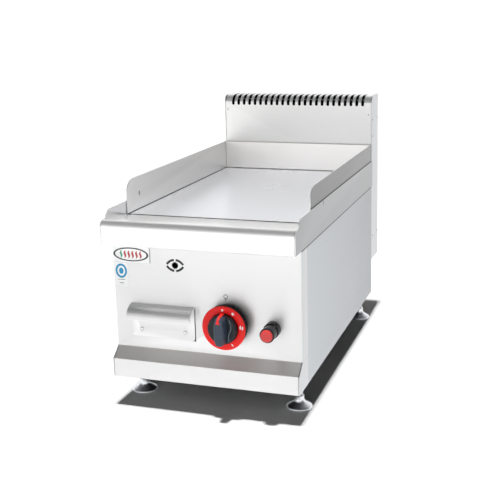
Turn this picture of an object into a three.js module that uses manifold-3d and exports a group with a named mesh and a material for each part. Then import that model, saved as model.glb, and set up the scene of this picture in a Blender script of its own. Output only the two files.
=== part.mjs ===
// Countertop gas griddle with a flat steel plate, splash guards and a rear flue.
// Millimetres. X to the right, Y to the rear, Z up. The origin lies under the middle
// of the whole outline, on the surface that the feet stand on.

import * as THREE from 'three';
import { mergeVertices } from 'three/addons/utils/BufferGeometryUtils.js';
import Module from 'manifold-3d';

const wasm = await Module();
wasm.setup();

// Outline
const HALF_WIDTH = 165;
const HEIGHT = 475;
const NOSE_Y = -319;
const FLUE_REAR = 331;

// Casing
const SHEET = 1.5;
const THIN_SHEET = 1.2;
const GAP = 0.3;
const CASE_HALF = HALF_WIDTH - SHEET - GAP;
const INNER_HALF = CASE_HALF - SHEET;
const PANEL_Y = -282;
const PANEL_RETURN = 34;
const PANEL_BOTTOM = 101;
const PLINTH_Y = -302;
const PLINTH_FOLD_Z = 84;
const CASE_BOTTOM = 52;
const CASE_TOP = 300;
const CASE_REAR = 264;
const PANEL_BACK = PANEL_Y + SHEET;
const PLINTH_FLOOR = 18;
const PLINTH_FLANGE_TOP = 116;
const DRILL_REACH = 5;
const AIR_SLOT_ROWS = [-180, -130, -80, 60, 110, 160];
const AIR_SLOT_COLUMNS = [-10, 75];
const AIR_SLOT_HALF_LENGTH = 30;
const AIR_SLOT_HALF_WIDTH = 6;
const EXHAUST_HALF = 120;
const EXHAUST_LOW = 214;
const EXHAUST_HIGH = 284;

// Top frame and cooking plate
const NOSE_BOTTOM = 285;
const NOSE_TOP = 325;
const NOSE_RADIUS = 12;
const NOSE_FLAT = 8;
const LEDGE_DEPTH = 16;
const DRAIN_X = -155.5;
const DRAIN_RADIUS = 4.5;
const APRON_REAR = -226.5;
const APRON_REAR_Z = 316.5;
const RAIL_BOTTOM = 286;
const RAIL_TOP = 339;
const PLATE_FRONT = -224;
const PLATE_REAR = 256;
const PLATE_TOP = 315.5;
const PLATE_THICKNESS = 12;
const PLATE_BOTTOM = PLATE_TOP - PLATE_THICKNESS;
const LEDGE_TOP = PLATE_BOTTOM - GAP;
const STIFFENER_HALF = 140;
const STIFFENER_BOTTOM = 288;
const STIFFENER_THICKNESS = 10;

// Splash guards
const GUARD_TOP = 374.5;
const GUARD_BOTTOM = 316.8;
const GUARD_THICKNESS = 1.6;
const GUARD_CORNER = 27;
const GUARD_SLIT_Y = -176;
const RAIL_SLIT_Y = -148;
const SLIT_WIDTH = 1.2;
const GUARD_SLIT_DEPTH = 9;
const RAIL_SLIT_DEPTH = 8;
const REAR_FLANGE = 2.5;

// Flue
const FLUE_BOTTOM = 124;
const FLUE_RADIUS = 20;
const LOUVRE_COUNT = 24;
const LOUVRE_PITCH = 12.5;
const LOUVRE_WIDTH = 6.2;
const LOUVRE_LOW = 454;
const LOUVRE_REAR = 306;
const HOOD_OVERLAP = 13;
const HOOD_RETURN = 14;

// Fat drawer
const DRAWER_X = -76.5;
const DRAWER_HALF = 56.5;
const DRAWER_LOW = 120.5;
const DRAWER_HIGH = 178.5;
const DRAWER_SIDE_GAP = 0.8;
const RIVET_CLEARANCE = 0.05;
const LIP_REACH = 24;
const LIP_DROP = 21.5;
const PAN_HALF = 49;
const PAN_LOW = 123.5;
const PAN_HIGH = 172;
const PAN_REAR = 10;
const RIVET_OFFSET = 39;
const RIVET_Z = 134;
const RIVET_STEM_RADIUS = 1.9;
const RUNNER_REAR = 20;
const RUNNER_SHELF = 13;
const RUNNER_WALL_HEIGHT = 27;

// Grease chute
const CHUTE_FRONT = -246;
const CHUTE_REAR = -219;
const CHUTE_OUTER_X = -160.5;
const CHUTE_INNER_X = -146;
const CHUTE_TOP = 299;
const CHUTE_BEND_Z = 262;
const CHUTE_END = [-112, 177];
const CHUTE_END_TOP = [-104, 184];

// Controls on the front panel
const KNOB_X = 39;
const KNOB_Z = 156;
const KNOB_RADIUS = 37;
const KNOB_FACE = PANEL_Y - 24;
const GRIP_RADIUS = 24.8;
const SPINDLE_RADIUS = 4;
const SPINDLE_HOLE_RADIUS = 7;
const SPINDLE_ENTRY = 5.5;
const BACKING_STANDOFF = 6.5;
const HUB_HEIGHT = 11;
const BAR_HEIGHT = 25;
const BAR_HALF_LENGTH = 14.5;
const BAR_RADIUS = 10;
const IGNITER_X = 115;
const IGNITER_Z = 154;
const IGNITER_REACH = 34;
const IGNITER_REAR = -236;
const IGNITER_BORE = 10.1;
const IGNITER_NECK = 10.7;
const IGNITER_HOLE_RADIUS = 11;
const PLUNGER_RADIUS = 5;
const BUTTON_DEPTH = 13;
const BUTTON_RADIUS = 9.8;
const PORT_X = -51.4;
const PORT_Z = 248;
const PORT_RADIUS = 4.7;
const SIGHT_HOLE_RADIUS = 7;
const BADGE_X = -130;
const BADGE_Z = 262;
const BADGE_HALF_WIDTH = 32;
const BADGE_HALF_HEIGHT = 12;
const BADGE_THICKNESS = 0.8;

// Feet
const FOOT_X = 142;
const FOOT_FRONT_Y = -230;
const FOOT_REAR_Y = 238;
const FOOT_STEM_RADIUS = 6;
const FOOT_STEM_BOTTOM = 23;
const FOOT_STEM_TOP = 72;
const FOOT_NUT_RADIUS = 11;
const FOOT_NUT_HEIGHT = 10;

// Burner and gas line
const BURNER_Z = 255;
const BURNER_X = 62;
const BURNER_RADIUS = 16;
const BURNER_WALL = 2;
const BURNER_FRONT = -150;
const BURNER_REAR = 215;
const CHAMBER_HALF = 150;
const CHAMBER_FRONT = -206;
const CHAMBER_FLOOR = 206;
const PILOT_X = -53;
const PILOT_Y = -186;
const PILOT_SPACING = 13;
const PILOT_HOLE_Z = 214;
const PILOT_BASE = 222;
const PILOT_RADIUS = 4;
const BRACKET_TOP = 237.5;
const BRACKET_HALF = 26;
const MOUTH_Y = -224;
const MOUTH_LENGTH = 18;
const THROAT_RADIUS = 13;
const FLAME_SLOTS = 9;
const FLAME_SLOT_PITCH = 36;
const INJECTOR_FRONT = -242;
const INLET_X = 100;
const INLET_Z = 86;
const INLET_FRONT = 242;
const VALVE_Y = -246;
const VALVE_OUTLET = 29;
const VALVE_INLET = 28;
const VALVE_BODY_HALF = 16;
const PLUG_FRONT = -270;
const PLUG_REAR = -230;
const PLUG_RADIUS = 8;
const PIPE_GAP = 0.6;
const SUPPLY_RADIUS = 4.5;
const MANIFOLD_RADIUS = 7;
const LEAD_RADIUS = 2.5;

// Surface finishes
const BRUSHED = { color: 0xd8d8d9, roughness: 0.38, metalness: 1 };
const PLATE_STEEL = { color: 0xcfd0d2, roughness: 0.3, metalness: 1 };
const GALVANISED = { color: 0xa9acad, roughness: 0.55, metalness: 1 };
const CHROME = { color: 0xe6e8ea, roughness: 0.08, metalness: 1 };
const BLACK_PLASTIC = { color: 0x272c33, roughness: 0.35, metalness: 0 };
const RED_PLASTIC = { color: 0xe5252b, roughness: 0.3, metalness: 0 };
const BRASS = { color: 0xb9924a, roughness: 0.35, metalness: 1 };
const CAST_IRON = { color: 0x3a3a3c, roughness: 0.75, metalness: 0.7 };
const CERAMIC = { color: 0xece8df, roughness: 0.4, metalness: 0 };
const BADGE_ENAMEL = { color: 0xf3f3f1, roughness: 0.3, metalness: 0 };
const SILICONE = { color: 0x9c2f26, roughness: 0.6, metalness: 0 };

const griddle = new THREE.Group();
griddle.name = 'flat_top_griddle';

// ---- solid building helpers ----

const AXIS_X = new THREE.Vector3(1, 0, 0);
const AXIS_Y = new THREE.Vector3(0, 1, 0);
const AXIS_Z = new THREE.Vector3(0, 0, 1);
const PROFILE_YZ = new THREE.Matrix4().makeBasis(AXIS_Y, AXIS_Z, AXIS_X);
const PROFILE_XZ = new THREE.Matrix4().makeBasis(AXIS_X, AXIS_Z, AXIS_Y.clone().negate());

function extrude(shape, depth, curveSegments = 8) {
  return new THREE.ExtrudeGeometry(shape, { depth, bevelEnabled: false, curveSegments });
}

// A (y, z) outline pushed along x.
function alongX(shape, x0, x1, curveSegments) {
  return extrude(shape, x1 - x0, curveSegments).applyMatrix4(PROFILE_YZ).translate(x0, 0, 0);
}

// An (x, z) outline pushed along y.
function alongY(shape, y0, y1, curveSegments) {
  return extrude(shape, y1 - y0, curveSegments).applyMatrix4(PROFILE_XZ).translate(0, y1, 0);
}

// An (x, y) outline pushed along z.
function alongZ(shape, z0, z1, curveSegments) {
  return extrude(shape, z1 - z0, curveSegments).translate(0, 0, z0);
}

function block(x0, x1, y0, y1, z0, z1) {
  const box = new THREE.BoxGeometry(x1 - x0, y1 - y0, z1 - z0);
  return box.translate((x0 + x1) / 2, (y0 + y1) / 2, (z0 + z1) / 2);
}

function rodX(radius, x0, x1, sides = 20) {
  const rod = new THREE.CylinderGeometry(radius, radius, x1 - x0, sides);
  return rod.rotateZ(-Math.PI / 2).translate((x0 + x1) / 2, 0, 0);
}

function rodY(radius, y0, y1, sides = 20) {
  return new THREE.CylinderGeometry(radius, radius, y1 - y0, sides).translate(0, (y0 + y1) / 2, 0);
}

function rodZ(radius, z0, z1, sides = 20) {
  const rod = new THREE.CylinderGeometry(radius, radius, z1 - z0, sides);
  return rod.rotateX(Math.PI / 2).translate(0, 0, (z0 + z1) / 2);
}

// A turned solid about y from (radius, y) points that start and end on the axis.
function turnedY(profile, sides = 20) {
  return new THREE.LatheGeometry(profile.map(([r, y]) => new THREE.Vector2(r, y)), sides);
}

function turnedZ(profile, sides = 20) {
  return turnedY(profile, sides).rotateX(Math.PI / 2);
}

function polygon(points) {
  return new THREE.Shape(points.map(([u, v]) => new THREE.Vector2(u, v)));
}

function arc(centreU, centreV, radiusU, radiusV, startDegrees, endDegrees, steps) {
  const points = [];
  for (let i = 0; i <= steps; i += 1) {
    const angle = THREE.MathUtils.degToRad(startDegrees + ((endDegrees - startDegrees) * i) / steps);
    points.push([centreU + radiusU * Math.cos(angle), centreV + radiusV * Math.sin(angle)]);
  }
  return points;
}

// The section of a folded sheet: path is one face, and the sheet lies to its left
// (positive thickness) or to its right (negative thickness).
function foldedSheet(path, thickness) {
  const face = path.map(([u, v]) => new THREE.Vector2(u, v));
  const normals = [];
  for (let i = 0; i < face.length - 1; i += 1) {
    const along = face[i + 1].clone().sub(face[i]).normalize();
    normals.push(new THREE.Vector2(-along.y, along.x));
  }
  const back = face.map((point, i) => {
    const before = normals[Math.max(i - 1, 0)];
    const after = normals[Math.min(i, normals.length - 1)];
    const mitre = before.clone().add(after).divideScalar(1 + before.dot(after));
    return point.clone().addScaledVector(mitre, thickness);
  });
  return new THREE.Shape([...face, ...back.reverse()]);
}

// A round pipe with eight sides through the given points.
function pipe(points, radius, steps) {
  const route = new THREE.CatmullRomCurve3(points.map((point) => new THREE.Vector3(...point)));
  const ring = new THREE.Shape();
  ring.absarc(0, 0, radius, 0, Math.PI * 2);
  return new THREE.ExtrudeGeometry(ring, {
    steps,
    extrudePath: route,
    bevelEnabled: false,
    curveSegments: 4,
  });
}

function toSolid(geometry) {
  const plain = geometry.clone();
  plain.deleteAttribute('normal');
  plain.deleteAttribute('uv');
  const merged = mergeVertices(plain, 1e-4);
  return new wasm.Manifold(new wasm.Mesh({
    numProp: 3,
    vertProperties: new Float32Array(merged.attributes.position.array),
    triVerts: new Uint32Array(merged.index.array),
  }));
}

function toGeometry(solid) {
  const mesh = solid.getMesh();
  const geometry = new THREE.BufferGeometry();
  geometry.setAttribute('position', new THREE.BufferAttribute(mesh.vertProperties, 3));
  geometry.setIndex(new THREE.BufferAttribute(mesh.triVerts, 1));
  return geometry;
}

function join(...geometries) {
  return toGeometry(geometries.map(toSolid).reduce((whole, next) => whole.add(next)));
}

function cut(geometry, ...tools) {
  return toGeometry(tools.map(toSolid).reduce((rest, tool) => rest.subtract(tool), toSolid(geometry)));
}

// A cutter for a round hole through a thin sheet that faces the front at the given y.
function drillY(radius, x, y, z) {
  return rodY(radius, y - DRILL_REACH, y + DRILL_REACH).translate(x, 0, z);
}

function part(name, geometry, finish, parent = griddle) {
  const mesh = new THREE.Mesh(geometry, new THREE.MeshStandardMaterial(finish));
  mesh.name = name;
  parent.add(mesh);
  return mesh;
}

const SIDES = [['left', -1], ['right', 1]];

// A slab between two distances from the middle plane, on one side of it.
function sideSlab(outline, side, near, far) {
  return side > 0 ? alongX(outline, near, far) : alongX(outline, -far, -near);
}

// ---- casing ----

function addFrontPanel() {
  const section = foldedSheet([
    [-CASE_HALF, PANEL_Y + PANEL_RETURN],
    [-CASE_HALF, PANEL_Y],
    [CASE_HALF, PANEL_Y],
    [CASE_HALF, PANEL_Y + PANEL_RETURN],
  ], SHEET);
  const holeTop = PAN_HIGH + 3;
  const drawerHole = block(
    DRAWER_X - PAN_HALF - 2.5, DRAWER_X + PAN_HALF + 2.5,
    PANEL_Y - DRILL_REACH, PANEL_Y + DRILL_REACH, PAN_LOW - 1, holeTop,
  );
  const sideSlot = block(
    DRAWER_X + PAN_HALF, DRAWER_X + DRAWER_HALF + DRAWER_SIDE_GAP,
    PANEL_Y - DRILL_REACH, PANEL_Y + DRILL_REACH, DRAWER_LOW - DRAWER_SIDE_GAP, holeTop,
  );
  const panel = cut(
    alongZ(section, PANEL_BOTTOM + GAP, CASE_TOP),
    drawerHole,
    sideSlot,
    drillY(SPINDLE_HOLE_RADIUS, KNOB_X, PANEL_Y, KNOB_Z),
    drillY(IGNITER_HOLE_RADIUS, IGNITER_X, PANEL_Y, IGNITER_Z),
    drillY(PORT_RADIUS, PORT_X, PANEL_Y, PORT_Z),
  );
  part('front_panel', panel, BRUSHED);
}

function addPlinth() {
  const flangeY = PANEL_BACK + GAP;
  const front = alongX(foldedSheet([
    [flangeY, PANEL_BOTTOM],
    [PLINTH_Y, PLINTH_FOLD_Z],
    [PLINTH_Y, CASE_BOTTOM],
    [PLINTH_Y + PLINTH_FLOOR, CASE_BOTTOM],
  ], SHEET), -CASE_HALF, CASE_HALF);
  const flange = block(
    -INNER_HALF + GAP, INNER_HALF - GAP,
    flangeY, flangeY + SHEET, PANEL_BOTTOM - 3, PLINTH_FLANGE_TOP,
  );
  const cheek = polygon([
    [PLINTH_Y, CASE_BOTTOM],
    [PLINTH_Y, PLINTH_FOLD_Z],
    [flangeY, PANEL_BOTTOM],
    [PANEL_Y + PANEL_RETURN, PANEL_BOTTOM],
    [PANEL_Y + PANEL_RETURN, CASE_BOTTOM],
  ]);
  const cheeks = SIDES.map(([, side]) => sideSlab(cheek, side, INNER_HALF, CASE_HALF));
  part('plinth', join(front, flange, ...cheeks), BRUSHED);
}

function addSidePanels() {
  const front = PANEL_Y + PANEL_RETURN + GAP;
  const outline = polygon([
    [front, CASE_BOTTOM], [CASE_REAR, CASE_BOTTOM], [CASE_REAR, CASE_TOP], [front, CASE_TOP],
  ]);
  for (const [label, side] of SIDES) {
    part(`side_panel_${label}`, sideSlab(outline, side, INNER_HALF, CASE_HALF), BRUSHED);
  }
}

function addBasePanel() {
  const half = INNER_HALF - GAP;
  const low = CASE_BOTTOM + GAP;
  const high = low + SHEET;
  const front = PLINTH_Y + PLINTH_FLOOR + GAP;
  const plate = block(-half, half, front, CASE_REAR - SHEET - GAP, low, high);
  const tools = [];
  for (const y of AIR_SLOT_ROWS) {
    for (const x of AIR_SLOT_COLUMNS) {
      tools.push(block(
        x - AIR_SLOT_HALF_LENGTH, x + AIR_SLOT_HALF_LENGTH,
        y - AIR_SLOT_HALF_WIDTH, y + AIR_SLOT_HALF_WIDTH, low - 1, high + 1,
      ));
    }
  }
  for (const x of [-FOOT_X, FOOT_X]) {
    for (const y of [FOOT_FRONT_Y, FOOT_REAR_Y]) {
      tools.push(rodZ(FOOT_STEM_RADIUS + 2 * GAP, low - 1, high + 1, 14).translate(x, y, 0));
    }
  }
  part('base_panel', cut(plate, ...tools), GALVANISED);
}

function addRearPanel() {
  const half = INNER_HALF - GAP;
  const plate = block(-half, half, CASE_REAR - SHEET, CASE_REAR, CASE_BOTTOM, CASE_TOP);
  const exhaust = block(
    -EXHAUST_HALF, EXHAUST_HALF,
    CASE_REAR - DRILL_REACH, CASE_REAR + DRILL_REACH, EXHAUST_LOW, EXHAUST_HIGH,
  );
  part('rear_panel', cut(plate, exhaust, drillY(12, INLET_X, CASE_REAR, INLET_Z)), GALVANISED);
}

// ---- top frame ----

function noseArc() {
  return arc(NOSE_Y + NOSE_RADIUS, NOSE_TOP - NOSE_RADIUS, NOSE_RADIUS, NOSE_RADIUS, 180, 90, 8);
}

function addFrontApron() {
  const path = [
    [PANEL_Y - 2 * GAP, NOSE_BOTTOM],
    [NOSE_Y, NOSE_BOTTOM],
    ...noseArc(),
    [NOSE_Y + NOSE_RADIUS + NOSE_FLAT, NOSE_TOP],
    [APRON_REAR, APRON_REAR_Z],
    [APRON_REAR, LEDGE_TOP],
    [APRON_REAR + LEDGE_DEPTH, LEDGE_TOP],
  ];
  const sheet = alongX(foldedSheet(path, -SHEET), -CASE_HALF, CASE_HALF);
  const drain = rodZ(DRAIN_RADIUS, APRON_REAR_Z - 16, NOSE_TOP + 5, 12)
    .translate(DRAIN_X, APRON_REAR - 7, 0);
  part('front_apron', cut(sheet, drain), BRUSHED);
}

function addSideRails() {
  const rise = NOSE_Y + NOSE_RADIUS + NOSE_FLAT;
  const outline = polygon([
    [NOSE_Y, RAIL_BOTTOM],
    ...noseArc(),
    [rise, NOSE_TOP + 1.5],
    [rise + 1, NOSE_TOP + 5],
    [rise + 12, RAIL_TOP],
    [CASE_REAR - GAP, RAIL_TOP],
    [CASE_REAR - GAP, RAIL_BOTTOM],
  ]);
  for (const [label, side] of SIDES) {
    const rail = sideSlab(outline, side, HALF_WIDTH - SHEET, HALF_WIDTH);
    const slit = block(
      -HALF_WIDTH - 1, HALF_WIDTH + 1,
      RAIL_SLIT_Y - SLIT_WIDTH / 2, RAIL_SLIT_Y + SLIT_WIDTH / 2,
      RAIL_TOP - RAIL_SLIT_DEPTH, RAIL_TOP + 1,
    );
    part(`side_rail_${label}`, cut(rail, slit), BRUSHED);
  }
}

function addGriddlePlate() {
  const half = INNER_HALF - 0.5;
  const slab = block(-half, half, PLATE_FRONT, PLATE_REAR, PLATE_BOTTOM, PLATE_TOP);
  part('griddle_plate', slab, PLATE_STEEL);
  for (const [label, y] of [['front', -90], ['rear', 120]]) {
    const bar = block(
      -STIFFENER_HALF, STIFFENER_HALF, y, y + STIFFENER_THICKNESS, STIFFENER_BOTTOM, LEDGE_TOP,
    );
    part(`plate_stiffener_${label}`, bar, GALVANISED);
  }
}

function addSplashGuards() {
  const rear = PLATE_REAR + 4;
  const outer = CASE_HALF;
  const inner = outer - GUARD_THICKNESS;
  const outline = polygon([
    [PLATE_FRONT, GUARD_BOTTOM],
    ...arc(
      PLATE_FRONT + GUARD_CORNER, GUARD_TOP - GUARD_CORNER, GUARD_CORNER, GUARD_CORNER, 180, 90, 8,
    ),
    [rear, GUARD_TOP],
    [rear, GUARD_BOTTOM],
  ]);
  for (const [label, side] of SIDES) {
    const slit = block(
      -HALF_WIDTH, HALF_WIDTH,
      GUARD_SLIT_Y - SLIT_WIDTH / 2, GUARD_SLIT_Y + SLIT_WIDTH / 2,
      RAIL_TOP, RAIL_TOP + GUARD_SLIT_DEPTH,
    );
    part(`splash_guard_${label}`, cut(sideSlab(outline, side, inner, outer), slit), BRUSHED);
  }
  const rearSection = foldedSheet([
    [rear - GUARD_THICKNESS, GUARD_BOTTOM],
    [rear - GUARD_THICKNESS, GUARD_TOP],
    [rear + REAR_FLANGE, GUARD_TOP],
  ], -GUARD_THICKNESS);
  const half = inner - GAP;
  part('splash_guard_rear', alongX(rearSection, -half, half), BRUSHED);
}

// ---- flue ----

function addFlue() {
  const front = CASE_REAR + GAP;
  const hoodFront = front + GAP;
  const hoodRear = FLUE_REAR - GAP;
  const archZ = HEIGHT - FLUE_RADIUS;
  const half = INNER_HALF - GAP;
  const sideOutline = polygon([
    [front, FLUE_BOTTOM],
    ...arc(front + FLUE_RADIUS, archZ, FLUE_RADIUS, FLUE_RADIUS, 180, 90, 8),
    [FLUE_REAR, HEIGHT],
    [FLUE_REAR, FLUE_BOTTOM],
  ]);
  for (const [label, side] of SIDES) {
    part(`flue_side_${label}`, sideSlab(sideOutline, side, INNER_HALF, CASE_HALF), BRUSHED);
  }
  const hood = alongX(foldedSheet([
    [hoodFront, CASE_TOP - HOOD_OVERLAP],
    ...arc(hoodFront + FLUE_RADIUS, archZ, FLUE_RADIUS, FLUE_RADIUS, 180, 90, 5),
    [hoodRear, HEIGHT],
    [hoodRear, HEIGHT - HOOD_RETURN],
  ], -SHEET), -half, half);
  const louvre = new THREE.Shape();
  louvre.absarc(0, LOUVRE_LOW + LOUVRE_WIDTH / 2, LOUVRE_WIDTH / 2, Math.PI, 2 * Math.PI);
  louvre.lineTo(LOUVRE_WIDTH / 2, HEIGHT + 5);
  louvre.lineTo(-LOUVRE_WIDTH / 2, HEIGHT + 5);
  const louvres = [];
  for (let i = 0; i < LOUVRE_COUNT; i += 1) {
    const x = (i - (LOUVRE_COUNT - 1) / 2) * LOUVRE_PITCH;
    louvres.push(alongY(louvre, front - 2, LOUVRE_REAR, 2).translate(x, 0, 0));
  }
  part('flue_hood', cut(hood, ...louvres), BRUSHED);
  const backFront = FLUE_REAR - SHEET;
  const back = block(
    -half, half, backFront, FLUE_REAR, FLUE_BOTTOM, HEIGHT - HOOD_RETURN - GAP,
  );
  part('flue_rear_panel', back, BRUSHED);
  const floor = block(
    -half, half, front, backFront - GAP, FLUE_BOTTOM, FLUE_BOTTOM + SHEET,
  );
  part('flue_floor', floor, GALVANISED);
}

// ---- fat drawer ----

function addDrawer() {
  const back = PANEL_Y - GAP;
  const section = foldedSheet([
    [back, DRAWER_LOW],
    ...arc(back, DRAWER_HIGH - LIP_DROP, LIP_REACH, LIP_DROP, 90, 180, 10),
  ], SHEET);
  const rivetHoles = [-RIVET_OFFSET, RIVET_OFFSET].map(
    (dx) => rodY(RIVET_STEM_RADIUS + GAP, PANEL_Y - 10, PANEL_Y + 10, 12)
      .translate(DRAWER_X + dx, 0, RIVET_Z),
  );
  const face = alongX(section, DRAWER_X - DRAWER_HALF, DRAWER_X + DRAWER_HALF);
  part('drawer_front', cut(face, ...rivetHoles), BRUSHED);

  const wall = THIN_SHEET;
  const pan = cut(
    block(DRAWER_X - PAN_HALF, DRAWER_X + PAN_HALF, PANEL_Y, PAN_REAR, PAN_LOW, PAN_HIGH),
    block(
      DRAWER_X - PAN_HALF + wall, DRAWER_X + PAN_HALF - wall,
      PANEL_Y + wall, PAN_REAR - wall, PAN_LOW + wall, PAN_HIGH + 1,
    ),
  );
  part('drawer_pan', pan, GALVANISED);

  const headY = back - SHEET;
  const stemEnd = PANEL_Y - RIVET_CLEARANCE;
  const rivet = turnedY([
    [0, headY - 1.6],
    [2.4, headY - 1.2],
    [3.8, headY - 0.1],
    [RIVET_STEM_RADIUS, headY - 0.1],
    [RIVET_STEM_RADIUS, stemEnd],
    [0, stemEnd],
  ], 12);
  for (const [label, side] of SIDES) {
    const piece = part(`drawer_rivet_${label}`, rivet, CHROME);
    piece.position.set(DRAWER_X + side * RIVET_OFFSET, 0, RIVET_Z);
  }

  const shelf = PAN_LOW - GAP;
  const near = PAN_HALF + 1.5;
  const runnerFront = PANEL_BACK + 3;
  for (const [label, side] of SIDES) {
    const bracket = foldedSheet([
      [side * (near - RUNNER_SHELF), shelf],
      [side * near, shelf],
      [side * near, shelf + RUNNER_WALL_HEIGHT],
    ], -side * wall);
    const legX = side * (near + wall / 2);
    const legBottom = CASE_BOTTOM + SHEET + GAP + 0.4;
    const runner = join(
      alongY(bracket, runnerFront, RUNNER_REAR),
      block(legX - wall / 2, legX + wall / 2, runnerFront, RUNNER_REAR, legBottom, shelf + 1),
    );
    part(`drawer_runner_${label}`, runner.translate(DRAWER_X, 0, 0), GALVANISED);
  }
}

// Sloping open chute from the drain hole in the apron to the pan.
function addGreaseChute() {
  const slope = [[CHUTE_OUTER_X, CHUTE_TOP], [CHUTE_OUTER_X, CHUTE_BEND_Z], CHUTE_END];
  const cheek = polygon([
    ...slope, CHUTE_END_TOP, [CHUTE_INNER_X, CHUTE_BEND_Z], [CHUTE_INNER_X, CHUTE_TOP],
  ]);
  const chute = join(
    alongY(foldedSheet(slope, THIN_SHEET), CHUTE_FRONT, CHUTE_REAR),
    alongY(cheek, CHUTE_FRONT, CHUTE_FRONT + THIN_SHEET),
    alongY(cheek, CHUTE_REAR - THIN_SHEET, CHUTE_REAR),
  );
  part('grease_chute', chute, GALVANISED);
}

// ---- gas valve and its knob, turned about an axis along y ----

function addKnobAndValve() {
  const group = new THREE.Group();
  group.position.set(KNOB_X, 0, KNOB_Z);
  griddle.add(group);
  const bore = SPINDLE_RADIUS + 0.3;
  const skirtBack = KNOB_FACE + 3;
  const backingFront = skirtBack + GAP;
  const backingRear = PANEL_Y - BACKING_STANDOFF;

  const backing = cut(
    turnedY([
      [0, backingFront], [KNOB_RADIUS - 1, backingFront], [KNOB_RADIUS - 0.5, backingFront + 2],
      [KNOB_RADIUS - 1.5, backingRear], [0, backingRear],
    ], 32),
    rodY(bore, backingFront - 1, backingRear + 1, 12),
  );
  part('knob_backing', backing, BLACK_PLASTIC, group);

  const skirt = cut(
    turnedY([
      [0, KNOB_FACE], [KNOB_RADIUS - 0.8, KNOB_FACE], [KNOB_RADIUS, KNOB_FACE + 0.8],
      [KNOB_RADIUS, skirtBack], [0, skirtBack],
    ], 32),
    rodY(GRIP_RADIUS + GAP, KNOB_FACE - 1, skirtBack + 1, 24),
  );
  part('knob_skirt', skirt, RED_PLASTIC, group);

  const hubFront = KNOB_FACE - HUB_HEIGHT;
  const bar = new THREE.Shape();
  bar.absarc(0, BAR_HALF_LENGTH, BAR_RADIUS, 0, Math.PI);
  bar.absarc(0, -BAR_HALF_LENGTH, BAR_RADIUS, Math.PI, 2 * Math.PI);
  const grip = cut(
    join(
      turnedY([
        [0, hubFront], [GRIP_RADIUS - 2.5, hubFront], [GRIP_RADIUS, hubFront + 2],
        [GRIP_RADIUS, skirtBack], [0, skirtBack],
      ], 24),
      alongY(bar, KNOB_FACE - BAR_HEIGHT, hubFront + 1, 6),
    ),
    rodY(bore, skirtBack - SPINDLE_ENTRY - 1, skirtBack + 1, 12),
  );
  part('knob_grip', grip, BLACK_PLASTIC, group);

  const spindle = rodY(SPINDLE_RADIUS, skirtBack - SPINDLE_ENTRY, VALVE_Y, 12);
  part('knob_spindle', spindle, BRASS, group);

  const plug = cut(
    rodY(PLUG_RADIUS, PLUG_FRONT, PLUG_REAR, 16),
    rodY(bore, PLUG_FRONT - 1, PLUG_REAR - 8, 12),
  );
  part('valve_plug', plug, BRASS, group);

  const body = cut(
    join(
      rodY(14, PANEL_BACK + 1, PLUG_REAR + 6, 16),
      block(
        -VALVE_BODY_HALF, VALVE_BODY_HALF, VALVE_Y - 16, VALVE_Y + 16,
        1 - VALVE_BODY_HALF, VALVE_BODY_HALF - 1,
      ),
      rodZ(8, 10, VALVE_OUTLET, 12).translate(0, VALVE_Y, 0),
      rodZ(9, -VALVE_INLET, -10, 12).translate(0, VALVE_Y, 0),
    ),
    rodY(PLUG_RADIUS + 0.4, PANEL_BACK, PLUG_REAR + 2, 16),
  );
  part('valve_body', body, BRASS, group);
}

// ---- piezo igniter ----

function addIgniter() {
  const group = new THREE.Group();
  group.position.set(IGNITER_X, 0, IGNITER_Z);
  griddle.add(group);
  const rim = PANEL_Y - IGNITER_REACH;
  const collarFront = PANEL_Y - 13;
  const collarBack = PANEL_Y - GAP;
  const body = cut(
    turnedY([
      [0, rim], [11.5, rim], [12.2, rim + 0.8],
      [12.2, collarFront], [13.7, collarFront], [14.5, collarFront + 1],
      [14.5, collarBack], [IGNITER_NECK, collarBack], [IGNITER_NECK, IGNITER_REAR], [0, IGNITER_REAR],
    ], 20),
    rodY(IGNITER_BORE, rim - 1, rim + 20),
    rodY(PLUNGER_RADIUS + 0.4, rim + 19, IGNITER_REAR - 14, 12),
  );
  part('igniter_body', body, BLACK_PLASTIC, group);

  const buttonBack = rim + BUTTON_DEPTH;
  const plungerEnd = PANEL_Y + 20;
  const button = turnedY([
    [0, rim - 4], [BUTTON_RADIUS - 1, rim - 4], [BUTTON_RADIUS, rim - 3],
    [BUTTON_RADIUS, buttonBack], [PLUNGER_RADIUS, buttonBack],
    [PLUNGER_RADIUS, plungerEnd], [0, plungerEnd],
  ], 20);
  part('igniter_button', button, RED_PLASTIC, group);

  const nut = cut(
    rodY(16, PANEL_BACK + GAP, PANEL_BACK + 6, 6),
    rodY(IGNITER_HOLE_RADIUS, PANEL_BACK, PANEL_BACK + 7),
  );
  part('igniter_nut', nut, GALVANISED, group);
}

function addBadge() {
  const oval = new THREE.Shape();
  oval.absellipse(0, 0, BADGE_HALF_WIDTH, BADGE_HALF_HEIGHT, 0, Math.PI * 2);
  const back = PANEL_Y - GAP;
  const plate = part('badge_plate', alongY(oval, back - BADGE_THICKNESS, back, 16), BADGE_ENAMEL);
  plate.position.set(BADGE_X, 0, BADGE_Z);
}

// ---- feet ----

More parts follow.
